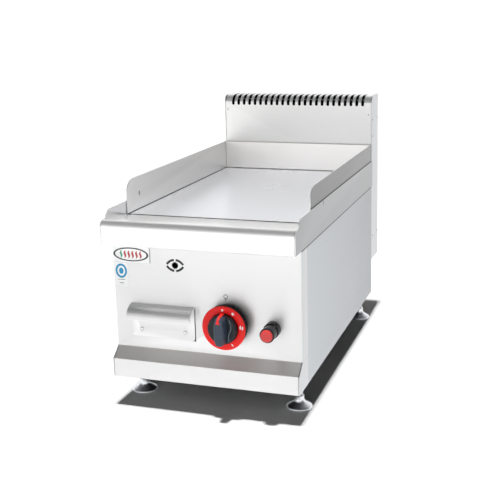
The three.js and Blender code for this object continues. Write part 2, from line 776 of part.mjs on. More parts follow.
function addFeet() {
  const foot = turnedZ([
    [0, 0], [21, 0], [22, 1], [22, 3.5], [19, 6], [11, 11], [8, 16], [8, FOOT_STEM_BOTTOM],
    [FOOT_STEM_RADIUS, FOOT_STEM_BOTTOM], [FOOT_STEM_RADIUS, FOOT_STEM_TOP], [0, FOOT_STEM_TOP],
  ], 18);
  const nutBottom = CASE_BOTTOM - FOOT_NUT_HEIGHT;
  const nut = cut(
    rodZ(FOOT_NUT_RADIUS, nutBottom, CASE_BOTTOM, 6),
    rodZ(FOOT_STEM_RADIUS + GAP, nutBottom - 1, CASE_BOTTOM + 1, 16),
  );
  for (const [end, y] of [['front', FOOT_FRONT_Y], ['rear', FOOT_REAR_Y]]) {
    for (const [label, side] of SIDES) {
      part(`foot_${end}_${label}`, foot, CHROME).position.set(side * FOOT_X, y, 0);
      part(`foot_nut_${end}_${label}`, nut, CHROME).position.set(side * FOOT_X, y, 0);
    }
  }
}

// ---- combustion chamber ----

function addChamber() {
  const half = CHAMBER_HALF - GAP;
  const rear = CASE_REAR - SHEET - GAP;
  const wallBottom = CHAMBER_FLOOR + 2;
  for (const [label, side] of SIDES) {
    const section = foldedSheet([
      [side * (INNER_HALF - GAP), LEDGE_TOP],
      [side * CHAMBER_HALF, LEDGE_TOP],
      [side * CHAMBER_HALF, wallBottom],
    ], side * THIN_SHEET);
    part(`chamber_wall_${label}`, alongY(section, CHAMBER_FRONT, rear), GALVANISED);
  }
  const front = cut(
    block(-half, half, CHAMBER_FRONT, CHAMBER_FRONT + THIN_SHEET, wallBottom, CASE_TOP),
    drillY(THROAT_RADIUS + 3, 0, CHAMBER_FRONT, BURNER_Z),
    drillY(SIGHT_HOLE_RADIUS, PORT_X, CHAMBER_FRONT, PORT_Z),
    drillY(2 * LEAD_RADIUS, PILOT_X + PILOT_SPACING, CHAMBER_FRONT, PILOT_HOLE_Z),
    drillY(2 * LEAD_RADIUS, PILOT_X, CHAMBER_FRONT, PILOT_HOLE_Z),
  );
  part('chamber_wall_front', front, GALVANISED);
  const floorFront = CHAMBER_FRONT + THIN_SHEET + GAP;
  const floor = block(-half, half, floorFront, rear, CHAMBER_FLOOR, CHAMBER_FLOOR + THIN_SHEET);
  part('heat_shield_floor', floor, GALVANISED);
}

function addBurner() {
  const tubes = (radius, inset) => join(
    rodX(radius, -BURNER_X - BURNER_RADIUS + inset, BURNER_X + BURNER_RADIUS - inset, 12)
      .translate(0, BURNER_FRONT, 0),
    ...[-BURNER_X, BURNER_X].map((x) => rodY(
      radius, BURNER_FRONT - BURNER_RADIUS + inset, BURNER_REAR - inset, 12,
    ).translate(x, 0, 0)),
  );
  const throatStart = MOUTH_Y + MOUTH_LENGTH;
  const throatBore = THROAT_RADIUS - BURNER_WALL;
  const outside = turnedY([
    [0, MOUTH_Y], [20, MOUTH_Y], [THROAT_RADIUS, throatStart],
    [THROAT_RADIUS, BURNER_FRONT], [0, BURNER_FRONT],
  ], 16);
  const inside = turnedY([
    [0, MOUTH_Y - 1], [18.2, MOUTH_Y - 1], [throatBore, throatStart],
    [throatBore, BURNER_FRONT], [0, BURNER_FRONT],
  ], 16);
  const slots = [];
  for (const x of [-BURNER_X, BURNER_X]) {
    for (let i = 0; i < FLAME_SLOTS; i += 1) {
      const y = BURNER_FRONT + 40 + i * FLAME_SLOT_PITCH;
      slots.push(block(x - 1.5, x + 1.5, y - 8, y + 8, 5, BURNER_RADIUS + 4));
    }
  }
  const burner = cut(
    join(tubes(BURNER_RADIUS, 0), outside),
    tubes(BURNER_RADIUS - BURNER_WALL, BURNER_WALL),
    inside,
    ...slots,
  );
  part('burner', burner, CAST_IRON).position.set(0, 0, BURNER_Z);
}

// ---- gas line, pilot and spark lead ----

function addGasLine() {
  const hexRear = INJECTOR_FRONT + 10;
  const tip = INJECTOR_FRONT + 24;
  const injector = join(
    rodY(8, INJECTOR_FRONT, hexRear, 6),
    turnedY([[0, hexRear - 1], [5, hexRear - 1], [5, tip - 8], [2.5, tip], [0, tip]], 12),
  );
  part('injector', injector, BRASS).position.set(0, 0, BURNER_Z);

  const outletZ = KNOB_Z + VALVE_OUTLET + PIPE_GAP;
  part('burner_supply_pipe', pipe([
    [KNOB_X, VALVE_Y, outletZ],
    [KNOB_X, VALVE_Y, outletZ + 20],
    [KNOB_X - 8, VALVE_Y - 10, outletZ + 48],
    [KNOB_X - 30, VALVE_Y - 16, BURNER_Z + 2],
    [6, INJECTOR_FRONT - 18, BURNER_Z],
    [0, INJECTOR_FRONT - 6, BURNER_Z],
    [0, INJECTOR_FRONT - PIPE_GAP, BURNER_Z],
  ], SUPPLY_RADIUS, 26), BRASS);

  const inletZ = KNOB_Z - VALVE_INLET - PIPE_GAP;
  part('manifold_pipe', pipe([
    [KNOB_X, VALVE_Y, inletZ],
    [KNOB_X, VALVE_Y, inletZ - 14],
    [KNOB_X + 6, VALVE_Y + 10, INLET_Z + 8],
    [KNOB_X + 24, VALVE_Y + 44, INLET_Z],
    [INLET_X - 14, -120, INLET_Z],
    [INLET_X, -40, INLET_Z],
    [INLET_X, 100, INLET_Z],
    [INLET_X, INLET_FRONT - PIPE_GAP, INLET_Z],
  ], MANIFOLD_RADIUS, 30), GALVANISED);

  const inletRear = INLET_FRONT + 58;
  const inlet = cut(
    join(
      rodY(10.4, INLET_FRONT, inletRear),
      rodY(16, CASE_REAR + GAP, CASE_REAR + 10, 6),
    ),
    rodY(6, inletRear - 24, inletRear + 1, 16),
  );
  part('gas_inlet', inlet, BRASS).position.set(INLET_X, 0, INLET_Z);

  part('pilot_tube', pipe([
    [KNOB_X - VALVE_BODY_HALF - PIPE_GAP, VALVE_Y + 6, KNOB_Z + 4],
    [KNOB_X - 24, VALVE_Y + 6, KNOB_Z + 4],
    [KNOB_X - 50, VALVE_Y, KNOB_Z + 14],
    [KNOB_X - 80, VALVE_Y, KNOB_Z + 30],
    [PILOT_X, -230, 200],
    [PILOT_X, -214, PILOT_HOLE_Z - 1],
    [PILOT_X, -198, PILOT_HOLE_Z],
    [PILOT_X, PILOT_Y - 1, PILOT_HOLE_Z + 3],
    [PILOT_X, PILOT_Y, PILOT_BASE - PIPE_GAP],
  ], LEAD_RADIUS, 28), BRASS);
}

function addPilot() {
  const front = CHAMBER_FRONT + THIN_SHEET + GAP;
  const shelfBottom = BRACKET_TOP - SHEET;
  const shelf = join(
    block(-BRACKET_HALF, BRACKET_HALF, front, PILOT_Y + 14, shelfBottom, BRACKET_TOP),
    block(
      -BRACKET_HALF, BRACKET_HALF, front, front + SHEET, PILOT_BASE + 2, BRACKET_TOP - 0.5,
    ),
  ).translate(PILOT_X, 0, 0);
  const drills = [-PILOT_SPACING, 0, PILOT_SPACING].map(
    (dx) => rodZ(PILOT_RADIUS + 0.4, shelfBottom - 6, BRACKET_TOP + 2.5, 12)
      .translate(PILOT_X + dx, PILOT_Y, 0),
  );
  part('pilot_bracket', cut(shelf, ...drills), GALVANISED);

  // A turned piece that stands in one of the bracket's holes, from (radius, height) points.
  const standing = (name, dx, finish, profile) => {
    const points = [[0, 0], [PILOT_RADIUS, 0], ...profile];
    const piece = part(name, turnedZ(points.map(([r, z]) => [r, PILOT_BASE + z]), 12), finish);
    piece.position.set(PILOT_X + dx, PILOT_Y, 0);
  };
  standing('pilot_burner', 0, BRASS, [
    [PILOT_RADIUS, 21], [6, 22], [6, 29], [3, 32], [0, 32],
  ]);
  standing('thermocouple', -PILOT_SPACING, CHROME, [
    [PILOT_RADIUS, 18], [2.5, 19], [2.5, 40], [0, 41],
  ]);
  standing('spark_electrode', PILOT_SPACING, CERAMIC, [
    [PILOT_RADIUS, 24], [1.2, 27], [1.2, 42], [0, 42],
  ]);

  const leadX = PILOT_X + PILOT_SPACING;
  part('ignition_lead', pipe([
    [IGNITER_X, IGNITER_REAR + PIPE_GAP, IGNITER_Z],
    [IGNITER_X, -230, IGNITER_Z],
    [IGNITER_X - 4, -220, IGNITER_Z + 16],
    [IGNITER_X - 36, -220, IGNITER_Z + 42],
    [24, -221, 204],
    [-20, -222, 202],
    [leadX, -218, PILOT_HOLE_Z - 4],
    [leadX, -198, PILOT_HOLE_Z],
    [leadX, PILOT_Y - 1, PILOT_HOLE_Z + 3],
    [leadX, PILOT_Y, PILOT_BASE - PIPE_GAP],
  ], LEAD_RADIUS, 32), SILICONE);
}

addFrontPanel();
addPlinth();
addSidePanels();
addBasePanel();
addRearPanel();
addFrontApron();
addSideRails();
addGriddlePlate();
addSplashGuards();
addFlue();
addDrawer();
addGreaseChute();
addKnobAndValve();
addIgniter();
addBadge();
addFeet();
addChamber();
addBurner();
addGasLine();
addPilot();

export default griddle;
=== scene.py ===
"""Countertop gas griddle with a flat steel plate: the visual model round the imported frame.

Metres, with tables of points in millimetres. X to the right, Y to the rear, Z up.
"""
import math

import bmesh
import bpy
from mathutils import Matrix, Vector


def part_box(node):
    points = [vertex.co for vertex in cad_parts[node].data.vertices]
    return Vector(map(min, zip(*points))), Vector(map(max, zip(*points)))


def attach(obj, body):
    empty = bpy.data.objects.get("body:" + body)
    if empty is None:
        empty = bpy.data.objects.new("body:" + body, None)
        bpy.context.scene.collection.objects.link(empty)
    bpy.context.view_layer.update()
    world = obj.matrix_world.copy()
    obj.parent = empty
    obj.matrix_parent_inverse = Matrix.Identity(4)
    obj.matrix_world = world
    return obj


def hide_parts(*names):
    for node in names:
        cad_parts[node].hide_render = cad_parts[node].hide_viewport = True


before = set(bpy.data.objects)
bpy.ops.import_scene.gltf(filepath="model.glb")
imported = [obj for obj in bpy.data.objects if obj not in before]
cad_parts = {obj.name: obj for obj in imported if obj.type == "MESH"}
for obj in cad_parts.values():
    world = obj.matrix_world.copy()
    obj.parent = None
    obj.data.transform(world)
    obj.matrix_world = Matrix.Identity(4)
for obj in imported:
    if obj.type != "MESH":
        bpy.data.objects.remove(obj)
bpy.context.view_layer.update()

MM = 0.001
AXIS_X = Vector((1, 0, 0))
AXIS_Y = Vector((0, 1, 0))
AXIS_Z = Vector((0, 0, 1))
SIDES = (("left", -1), ("right", 1))

PANEL_LOW, PANEL_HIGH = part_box("front_panel")
PLATE_LOW, PLATE_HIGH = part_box("griddle_plate")

# Sheet and edges
SHEET = 1.5 * MM
GAP = 0.3 * MM
EDGE = 0.25 * MM
THIN_EDGE = 0.15 * MM
BEND = 1.9 * MM
SHARP_ANGLE = math.radians(32)
WELD_DISTANCE = 0.002 * MM

# How much of a face's normal must lie along an axis
MOSTLY = 0.9
PARTLY = 0.3


# ---- outlines ----

def arc(centre, radii, start, end, steps):
    """Points on an elliptical arc, angles in degrees."""
    points = []
    for i in range(steps + 1):
        angle = math.radians(start + (end - start) * i / steps)
        points.append((centre[0] + radii[0] * math.cos(angle), centre[1] + radii[1] * math.sin(angle)))
    return points


def oval(centre, radii, steps=64):
    return arc(centre, radii, 0, 360, steps)[:-1]


def circle(centre, radius, steps=32):
    return oval(centre, (radius, radius), steps)


def rounded(points, radii, closed=True, steps=5):
    """The outline with each corner rounded by its radius; a radius of 0 keeps it sharp."""
    out = []
    count = len(points)
    for i, point in enumerate(points):
        radius = radii[i]
        if radius == 0 or (not closed and i in (0, count - 1)):
            out.append(tuple(point))
            continue
        corner = Vector(point)
        before = (Vector(points[i - 1]) - corner).normalized()
        after = (Vector(points[(i + 1) % count]) - corner).normalized()
        half = math.acos(max(-1.0, min(1.0, before.dot(after)))) / 2
        centre = corner + (before + after).normalized() * (radius / math.sin(half))
        first = corner + before * (radius / math.tan(half)) - centre
        last = corner + after * (radius / math.tan(half)) - centre
        start = math.atan2(first.y, first.x)
        turn = math.atan2(first.x * last.y - first.y * last.x, first.dot(last))
        for k in range(steps + 1):
            angle = start + turn * k / steps
            out.append((centre.x + radius * math.cos(angle), centre.y + radius * math.sin(angle)))
    return out


def rectangle(u0, u1, v0, v1):
    return [(u0, v0), (u1, v0), (u1, v1), (u0, v1)]


def strip(centre_u, width, v0, v1):
    """An upright rectangle on both sides of a line."""
    return rectangle(centre_u - width / 2, centre_u + width / 2, v0, v1)


def offset(table, u, v):
    """A table of millimetre pairs as points from u and v."""
    return [(u + du * MM, v + dv * MM) for du, dv in table]


def shifted(points, du, dv):
    return [(u + du, v + dv) for u, v in points]


def turned(points, degrees):
    """Points turned clockwise about the origin."""
    angle = math.radians(-degrees)
    c, s = math.cos(angle), math.sin(angle)
    return [(u * c - v * s, u * s + v * c) for u, v in points]


def polar(hub, radius, degrees):
    """A point on a dial; 0 is straight up and angles run clockwise."""
    angle = math.radians(degrees)
    return hub[0] + radius * math.sin(angle), hub[1] + radius * math.cos(angle)


def round_fronted(low, high, radius, steps):
    """The side view of a box, with its upper front corner rounded."""
    return [
        (low.y, low.z),
        *arc((low.y + radius, high.z - radius), (radius, radius), 180, 90, steps),
        (high.y, high.z),
        (high.y, low.z),
    ]


def dome(radius, height, base, angles, power=1.0):
    """Profile points of a domed head, from its top outwards."""
    points = [(0, base + height)]
    for degrees in angles:
        angle = math.radians(degrees)
        points.append((radius * math.sin(angle), base + height * math.cos(angle) ** power))
    return points


def thread(crest, root, start, end, steps):
    """Profile points of a screw thread, drawn as rings."""
    return [(crest if i % 2 else root, start + (end - start) * i / (steps - 1)) for i in range(steps)]


# ---- meshes ----

def at(axis, u, v, w):
    """The point whose outline coordinates are u and v, at w along the axis."""
    if axis == "x":
        return Vector((w, u, v))
    if axis == "y":
        return Vector((u, w, v))
    return Vector((u, v, w))


def skinned(rings):
    """A solid through rings of points of equal length, closed at both ends."""
    bm = bmesh.new()
    loops = [[bm.verts.new(point) for point in ring] for ring in rings]
    for low, high in zip(loops, loops[1:]):
        for i in range(len(low)):
            bm.faces.new((low[i - 1], low[i], high[i], high[i - 1]))
    bm.faces.new(loops[0])
    bm.faces.new(loops[-1])
    bmesh.ops.recalc_face_normals(bm, faces=bm.faces)
    return bm


def loft(sections, axis):
    """A solid through outlines of equal length; sections are (outline, w)."""
    return skinned([[at(axis, u, v, w) for u, v in outline] for outline, w in sections])


def prism(outline, axis, low, high):
    """A solid outline pushed along an axis."""
    return loft([(outline, low), (outline, high)], axis)


def slab(low, high):
    """A plain sheet that fills a box."""
    return prism(rectangle(low.x, high.x, low.z, high.z), "y", low.y, high.y)


def bore(centre, radius, low, high, axis="y", steps=40):
    return prism(circle(centre, radius, steps), axis, low, high)


def folded(path, thickness, axis, low, high):
    """A bent sheet: path is one face, and the sheet lies to its left where thickness is positive."""
    points = [Vector(p) for p in path]
    normals = []
    for a, b in zip(points, points[1:]):
        along = (b - a).normalized()
        normals.append(Vector((-along.y, along.x)))
    back = []
    for i, point in enumerate(points):
        before = normals[max(i - 1, 0)]
        after = normals[min(i, len(normals) - 1)]
        back.append(point + (before + after) / (1 + before.dot(after)) * thickness)
    outline = points + back[::-1]
    rings = [[at(axis, p.x, p.y, w) for p in outline] for w in (low, high)]
    bm = bmesh.new()
    loops = [[bm.verts.new(point) for point in ring] for ring in rings]
    count = len(outline)
    for i in range(count):
        bm.faces.new((loops[0][i - 1], loops[0][i], loops[1][i], loops[1][i - 1]))
    for near in loops:
        for i in range(len(points) - 1):
            bm.faces.new((near[i], near[i + 1], near[count - 2 - i], near[count - 1 - i]))
    bmesh.ops.recalc_face_normals(bm, faces=bm.faces)
    return bm


def lathe(profile, axis, centre, sides=64):
    """A turned solid from (radius, w) points that start and end on the axis."""
    bm = bmesh.new()
    rings = []
    for radius, w in profile:
        outline = circle(centre, radius, sides) if radius else [centre]
        rings.append([bm.verts.new(at(axis, u, v, w)) for u, v in outline])
    for low, high in zip(rings, rings[1:]):
        for i in range(sides):
            before = i - 1
            quad = (low[before % len(low)], low[i % len(low)], high[i % len(high)], high[before % len(high)])
            corners = list(dict.fromkeys(quad))
            if len(corners) > 2:
                bm.faces.new(corners)
    bmesh.ops.recalc_face_normals(bm, faces=bm.faces)
    return bm


def tube(points, radius, sides=12):
    """A round bar along a line of points, with closed ends."""
    route = [Vector(p) for p in points]
    side = (route[1] - route[0]).orthogonal()
    rings = []
    for i, point in enumerate(route):
        along = (route[min(i + 1, len(route) - 1)] - route[max(i - 1, 0)]).normalized()
        side = (side - along * side.dot(along)).normalized()
        other = along.cross(side)
        rings.append([point + side * u + other * v for u, v in circle((0, 0), radius, sides)])
    return skinned(rings)


def merged(*meshes):
    """One mesh of several separate solids."""
    whole = bmesh.new()
    for bm in meshes:
        part = bpy.data.meshes.new("part")
        bm.to_mesh(part)
        bm.free()
        whole.from_mesh(part)
        bpy.data.meshes.remove(part)
    return whole


def stand(bm, name):
    """An object in the scene that holds the mesh."""
    mesh = bpy.data.meshes.new(name)
    bm.to_mesh(mesh)
    bm.free()
    obj = bpy.data.objects.new(name, mesh)
    bpy.context.scene.collection.objects.link(obj)
    return obj


def combined(bm, *tools, operation="DIFFERENCE"):
    """The mesh with each tool taken from it, or joined with it by another operation."""
    obj = stand(bm, "work")
    for tool in tools:
        cutter = stand(tool, "tool")
        step = obj.modifiers.new("step", "BOOLEAN")
        step.operation = operation
        step.solver = "EXACT"
        step.object = cutter
        shown = obj.evaluated_get(bpy.context.evaluated_depsgraph_get())
        result = bpy.data.meshes.new_from_object(shown)
        obj.modifiers.clear()
        obj.data = result
        bpy.data.objects.remove(cutter)
    out = bmesh.new()
    out.from_mesh(obj.data)
    bpy.data.objects.remove(obj)
    bmesh.ops.remove_doubles(out, verts=out.verts, dist=WELD_DISTANCE)
    return out


def soften(obj, width, segments=2):
    """Rounds the sharp edges of a piece."""
    bevel = obj.modifiers.new("soft edges", "BEVEL")
    bevel.width = width
    bevel.segments = segments
    bevel.limit_method = "ANGLE"
    bevel.angle_limit = SHARP_ANGLE
    bevel.use_clamp_overlap = True
    bevel.harden_normals = True


def piece(name, bm, body, material, replaces=(), edge=EDGE, faces=()):
    """A finished piece that rides on a body.

    faces lists (material, test) pairs, each for the faces that have a finish of their own.
    """
    obj = stand(bm, name)
    mesh = obj.data
    mesh.materials.append(material)
    for index, (finish, test) in enumerate(faces, 1):
        mesh.materials.append(finish)
        for face in mesh.polygons:
            if test(face.center, face.normal):
                face.material_index = index
    mesh.polygons.foreach_set("use_smooth", [True] * len(mesh.polygons))
    mesh.set_sharp_from_angle(angle=SHARP_ANGLE)
    if edge:
        soften(obj, edge)
    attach(obj, body)
    if replaces:
        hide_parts(*replaces)


def dark_strip(name, outline, low, high, body="root"):
    """A dark strip of painted shade in a gap, with an outline seen from the side; low and high are its ends
    across the griddle.
    """
    piece(name, prism(outline, "x", low, high), body, painted_shade_strip, edge=0)


def mark(name, ink, *meshes):
    """A thin film on the front: mostly print; the strip at the badge backing's edge is painted shade."""
    piece(name, merged(*meshes), "root", ink, edge=0)


def facing_out(side):
    """A test for the faces that look away from the middle of the griddle."""
    return lambda centre, normal: normal.x * side > MOSTLY


def middle(name):
    low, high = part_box(name)
    return (low + high) / 2


def front_middle(name):
    """The middle of a node as seen from the front."""
    centre = middle(name)
    return centre.x, centre.z


# ---- shader nodes ----

def node(tree, kind, inputs=None, **settings):
    """A shader node; an input is given a value or another node's output."""
    made = tree.nodes.new(kind)
    for name, value in settings.items():
        setattr(made, name, value)
    for key, value in (inputs or {}).items():
        if isinstance(value, bpy.types.NodeSocket):
            tree.links.new(value, made.inputs[key])
        else:
            made.inputs[key].default_value = value
    return made


def object_space(tree, scale=(1, 1, 1)):
    coordinates = node(tree, "ShaderNodeTexCoord")
    mapping = node(tree, "ShaderNodeMapping", {"Vector": coordinates.outputs["Object"], "Scale": scale})
    return mapping.outputs["Vector"]


def noise(tree, scale, detail, roughness, stretch=(1, 1, 1)):
    made = node(tree, "ShaderNodeTexNoise", {
        "Vector": object_space(tree, stretch),
        "Scale": scale,
        "Detail": detail,
        "Roughness": roughness,
    })
    return made.outputs["Fac"]


def spread(tree, value, low, high, start=0.0, end=1.0):
    """A value between start and end, mapped to low to high."""
    made = node(tree, "ShaderNodeMapRange", {
        "Value": value,
        "From Min": start,
        "From Max": end,
        "To Min": low,
        "To Max": high,
    })
    return made.outputs["Result"]


def total(tree, first, second, operation="ADD"):
    return node(tree, "ShaderNodeMath", {0: first, 1: second}, operation=operation).outputs[0]


def blend(tree, factor, first, second, kind="MIX"):
    made = node(tree, "ShaderNodeMix", {"Factor": factor}, data_type="RGBA", blend_type=kind)
    for key, value in (("A", first), ("B", second)):
        socket = next(s for s in made.inputs if s.name == key and s.type == "RGBA")
        if isinstance(value, bpy.types.NodeSocket):
            tree.links.new(value, socket)
        else:
            socket.default_value = (*value, 1)
    return next(s for s in made.outputs if s.type == "RGBA")


def bump(tree, height, strength, distance):
    made = node(tree, "ShaderNodeBump", {"Height": height, "Strength": strength, "Distance": distance})
    return made.outputs["Normal"]


def edge_wear_and_sheen(tree, amount):
    """Up to amount on convex edges and 0 on flat faces: paler edges, partly wear and partly a painted
    highlight.
    """
    convexity = node(tree, "ShaderNodeNewGeometry").outputs["Pointiness"]
    return spread(tree, convexity, 0.0, amount, *CONVEX_RANGE)


def brighter(colour, gain, lift=0.0):
    return tuple(min(1.0, part * gain + lift) for part in colour)


def blank_material(name):
    material = bpy.data.materials.new(name)
    material.use_nodes = True
    tree = material.node_tree
    return material, tree, tree.nodes["Principled BSDF"]


def wire(shader, colour, roughness, normal=None, values=()):
    """Links a shader's main inputs and sets (name, value) pairs on the others."""
    for key, socket in (("Base Color", colour), ("Roughness", roughness), ("Normal", normal)):
        if socket:
            shader.id_data.links.new(socket, shader.inputs[key])
    for key, value in values:
        shader.inputs[key].default_value = value


# ---- materials ----

# Pointiness of an edge that starts to shine, and of one that shines fully
CONVEX_RANGE = (0.52, 0.6)

# Noise patterns: scale, detail, roughness
FINE_LINES = (1, 4, 0.65)
BROAD_STREAKS = (1, 3, 0.5)
SMEARS = (7, 3, 0.55)
HEAT_PATCHES = (5, 3, 0.6)
SOOT_CLOUD = (22, 5, 0.6)
SOOT_GRAIN = (900, 3, 0.5)
ZINC_GRAIN = (700, 3, 0.5)
PLATING_FILM = (60, 4, 0.6)
POLISH = (900, 2, 0.5)
FLOW_MARKS = (45, 3, 0.5)
INK_FILM = (400, 3, 0.6)
CAST_BLOTCH = (30, 3, 0.5)
FLOOR_CLOUD = (1.3, 2, 0.5)
SPANGLE_SCALE = 130

# Brushed steel
GRAIN_ALONG = 7
GRAIN_ACROSS = 1500
STREAK_ALONG = 3
STREAK_ACROSS = 260
SMEAR_SHADE = 0.2
SMEAR_ROUGHNESS = 0.035
LINE_ROUGHNESS = 0.05
BRUSH_DEPTH = 0.02 * MM
ANISOTROPY = 0.5
LIGHT_SHARE = 1.06
DARK_SHARE = 0.8
EDGE_SHEEN_GAIN = 1.12
# Where the painted shade towards the rear starts and ends
FRONT_Y = -0.3
REAR_Y = 0.28

STRAW = (0.79, 0.785, 0.76)
COAT_ROUGHNESS = 0.08


def stretched(axis, along, across):
    return tuple(along if abs(part) > MOSTLY else across for part in axis)


def brushed_metal(name, grain, light, dark, rough, streak=0.05, relief=0.12, diffuse=0.0, fade=1.0):
    """Metal with fine parallel brush lines along one axis, broader streaks and faint smears.

    The last argument is the painted shade at the rear of the griddle, as a share of the shade at its front:
    darker to the rear for how the light falls.
    """
    material, tree, shader = blank_material(name)
    fine = noise(tree, *FINE_LINES, stretched(grain, GRAIN_ALONG, GRAIN_ACROSS))
    broad = noise(tree, *BROAD_STREAKS, stretched(grain, STREAK_ALONG, STREAK_ACROSS))
    smear = noise(tree, *SMEARS)
    lines = total(tree, spread(tree, fine, -0.5, 0.5), spread(tree, broad, -0.5, 0.5))
    shade = total(tree, spread(tree, lines, 0.5 - 2 * streak, 0.5 + 2 * streak),
                  spread(tree, smear, -SMEAR_SHADE, SMEAR_SHADE))
    colour = blend(tree, shade, dark, light)
    # Painted shade: the colour darkens from the front of the griddle to its rear.
    if fade < 1:
        depth = node(tree, "ShaderNodeSeparateXYZ", {"Vector": object_space(tree)}).outputs["Y"]
        painted_shade = spread(tree, depth, 1.0, fade, FRONT_Y, REAR_Y)
        grey = node(tree, "ShaderNodeCombineColor", {0: painted_shade, 1: painted_shade, 2: painted_shade}).outputs[0]
        colour = blend(tree, 1.0, colour, grey, "MULTIPLY")
    # Paler convex edges: partly wear, partly a painted highlight.
    sheened_edges = blend(tree, edge_wear_and_sheen(tree, 0.6), colour, brighter(light, EDGE_SHEEN_GAIN))
    roughness = total(tree, spread(tree, lines, rough - LINE_ROUGHNESS, rough + LINE_ROUGHNESS),
                      spread(tree, smear, -SMEAR_ROUGHNESS, SMEAR_ROUGHNESS))
    normal = node(tree, "ShaderNodeNewGeometry").outputs["Normal"]
    lay = node(tree, "ShaderNodeCombineXYZ", {"X": grain.x, "Y": grain.y, "Z": grain.z})
    tangent = node(tree, "ShaderNodeVectorMath", {0: normal, 1: lay.outputs[0]}, operation="CROSS_PRODUCT")
    tree.links.new(tangent.outputs[0], shader.inputs["Tangent"])
    wire(shader, sheened_edges, roughness, bump(tree, fine, relief, BRUSH_DEPTH),
         [("Metallic", 1 - diffuse), ("Anisotropic", ANISOTROPY)])
    return material


def steel(name, grain, shade, rough, cool=0.0, **settings):
    """Brushed stainless steel at one painted shade, lighter or darker for how the light falls; cool shifts
    it towards blue.
    """
    tint = (1 - cool, 1, 1 + cool)
    light = brighter(tint, LIGHT_SHARE * shade)
    dark = tuple(DARK_SHARE * shade * part for part in tint)
    return brushed_metal(f"brushed_steel_{name}", grain, light, dark, rough, **settings)


def cooking_steel():
    """Ground plate: fine lines across, with faint straw marks from first heating."""
    material = brushed_metal("cooking_steel", AXIS_X, (0.93, 0.935, 0.95), (0.85, 0.865, 0.905), 0.33,
                             streak=0.35, relief=0.06, diffuse=0.25)
    tree = material.node_tree
    base = tree.nodes["Principled BSDF"].inputs["Base Color"]
    patches = spread(tree, noise(tree, *HEAT_PATCHES), -0.25, 0.35)
    tree.links.new(blend(tree, patches, base.links[0].from_socket, STRAW), base)
    return material


def sooted_and_shaded_steel():
    """Near-black steel: browned and blackened by burnt gas, and darkened further as painted shade inside the
    flue and under the body.
    """
    material, tree, shader = blank_material("sooted_and_shaded_steel")
    cloud = noise(tree, *SOOT_CLOUD)
    wire(shader, blend(tree, cloud, (0.003, 0.0035, 0.005), (0.014, 0.016, 0.02)),
         spread(tree, cloud, 0.7, 0.9), bump(tree, noise(tree, *SOOT_GRAIN), 0.3, 0.1 * MM),
         [("Specular IOR Level", 0.15)])
    return material


def galvanised():
    """Zinc coat with flat crystals of differing shade."""
    material, tree, shader = blank_material("galvanised")
    crystals = node(tree, "ShaderNodeTexVoronoi", {"Vector": object_space(tree), "Scale": SPANGLE_SCALE})
    spangle = node(tree, "ShaderNodeSeparateColor", {"Color": crystals.outputs["Color"]}).outputs[0]
    colour = blend(tree, spangle, (0.5, 0.52, 0.53), (0.66, 0.67, 0.68))
    wire(shader, blend(tree, edge_wear_and_sheen(tree, 0.5), colour, (0.75, 0.76, 0.77)),
         spread(tree, spangle, 0.42, 0.6), bump(tree, noise(tree, *ZINC_GRAIN), 0.15, 0.05 * MM),
         [("Metallic", 1)])
    return material


def plated(name, colour, rough):
    """Bright plated metal with faint polish lines and fingerprints."""
    material, tree, shader = blank_material(name)
    film = noise(tree, *PLATING_FILM)
    wire(shader, blend(tree, film, brighter(colour, 0.9), colour),
         spread(tree, film, rough * 0.6, rough * 1.5), bump(tree, noise(tree, *POLISH), 0.05, 0.01 * MM),
         [("Metallic", 1)])
    return material


def moulded(name, colour, rough, grain, relief, coat=0.0, shine=0.5):
    """Moulded plastic: fine surface grain, faint flow marks, paler edges."""
    material, tree, shader = blank_material(name)
    flow = noise(tree, *FLOW_MARKS)
    skin = noise(tree, grain, 3, 0.6)
    shade = blend(tree, flow, colour, brighter(colour, 1.18, 0.004))
    wire(shader, blend(tree, edge_wear_and_sheen(tree, 0.5), shade, brighter(colour, 1.5, 0.03)),
         spread(tree, flow, rough - 0.04, rough + 0.06), bump(tree, skin, relief, 0.05 * MM),
         [("Specular IOR Level", shine), ("Coat Weight", coat), ("Coat Roughness", COAT_ROUGHNESS)])
    return material


def printed(name, colour):
    """Screen printed ink with a slightly uneven film."""
    material, tree, shader = blank_material(name)
    film = noise(tree, *INK_FILM)
    wire(shader, blend(tree, film, colour, brighter(colour, 1.15, 0.01)),
         spread(tree, film, 0.35, 0.5), bump(tree, film, 0.08, 0.01 * MM))
    return material


def cast(name, colour, metallic, rough, grain, relief):
    """A coarse surface, as cast or fired."""
    material, tree, shader = blank_material(name)
    lumps = noise(tree, grain, 5, 0.65)
    wire(shader, blend(tree, noise(tree, *CAST_BLOTCH), colour, brighter(colour, 1.5, 0.01)),
         spread(tree, lumps, rough - 0.1, rough + 0.1), bump(tree, lumps, relief, 0.3 * MM),
         [("Metallic", metallic)])
    return material


def floor_paint():
    material, tree, shader = blank_material("studio_floor")
    cloud = noise(tree, *FLOOR_CLOUD)
    wire(shader, blend(tree, cloud, (0.86, 0.86, 0.865), (0.9, 0.9, 0.9)), spread(tree, cloud, 0.75, 0.85))
    return material


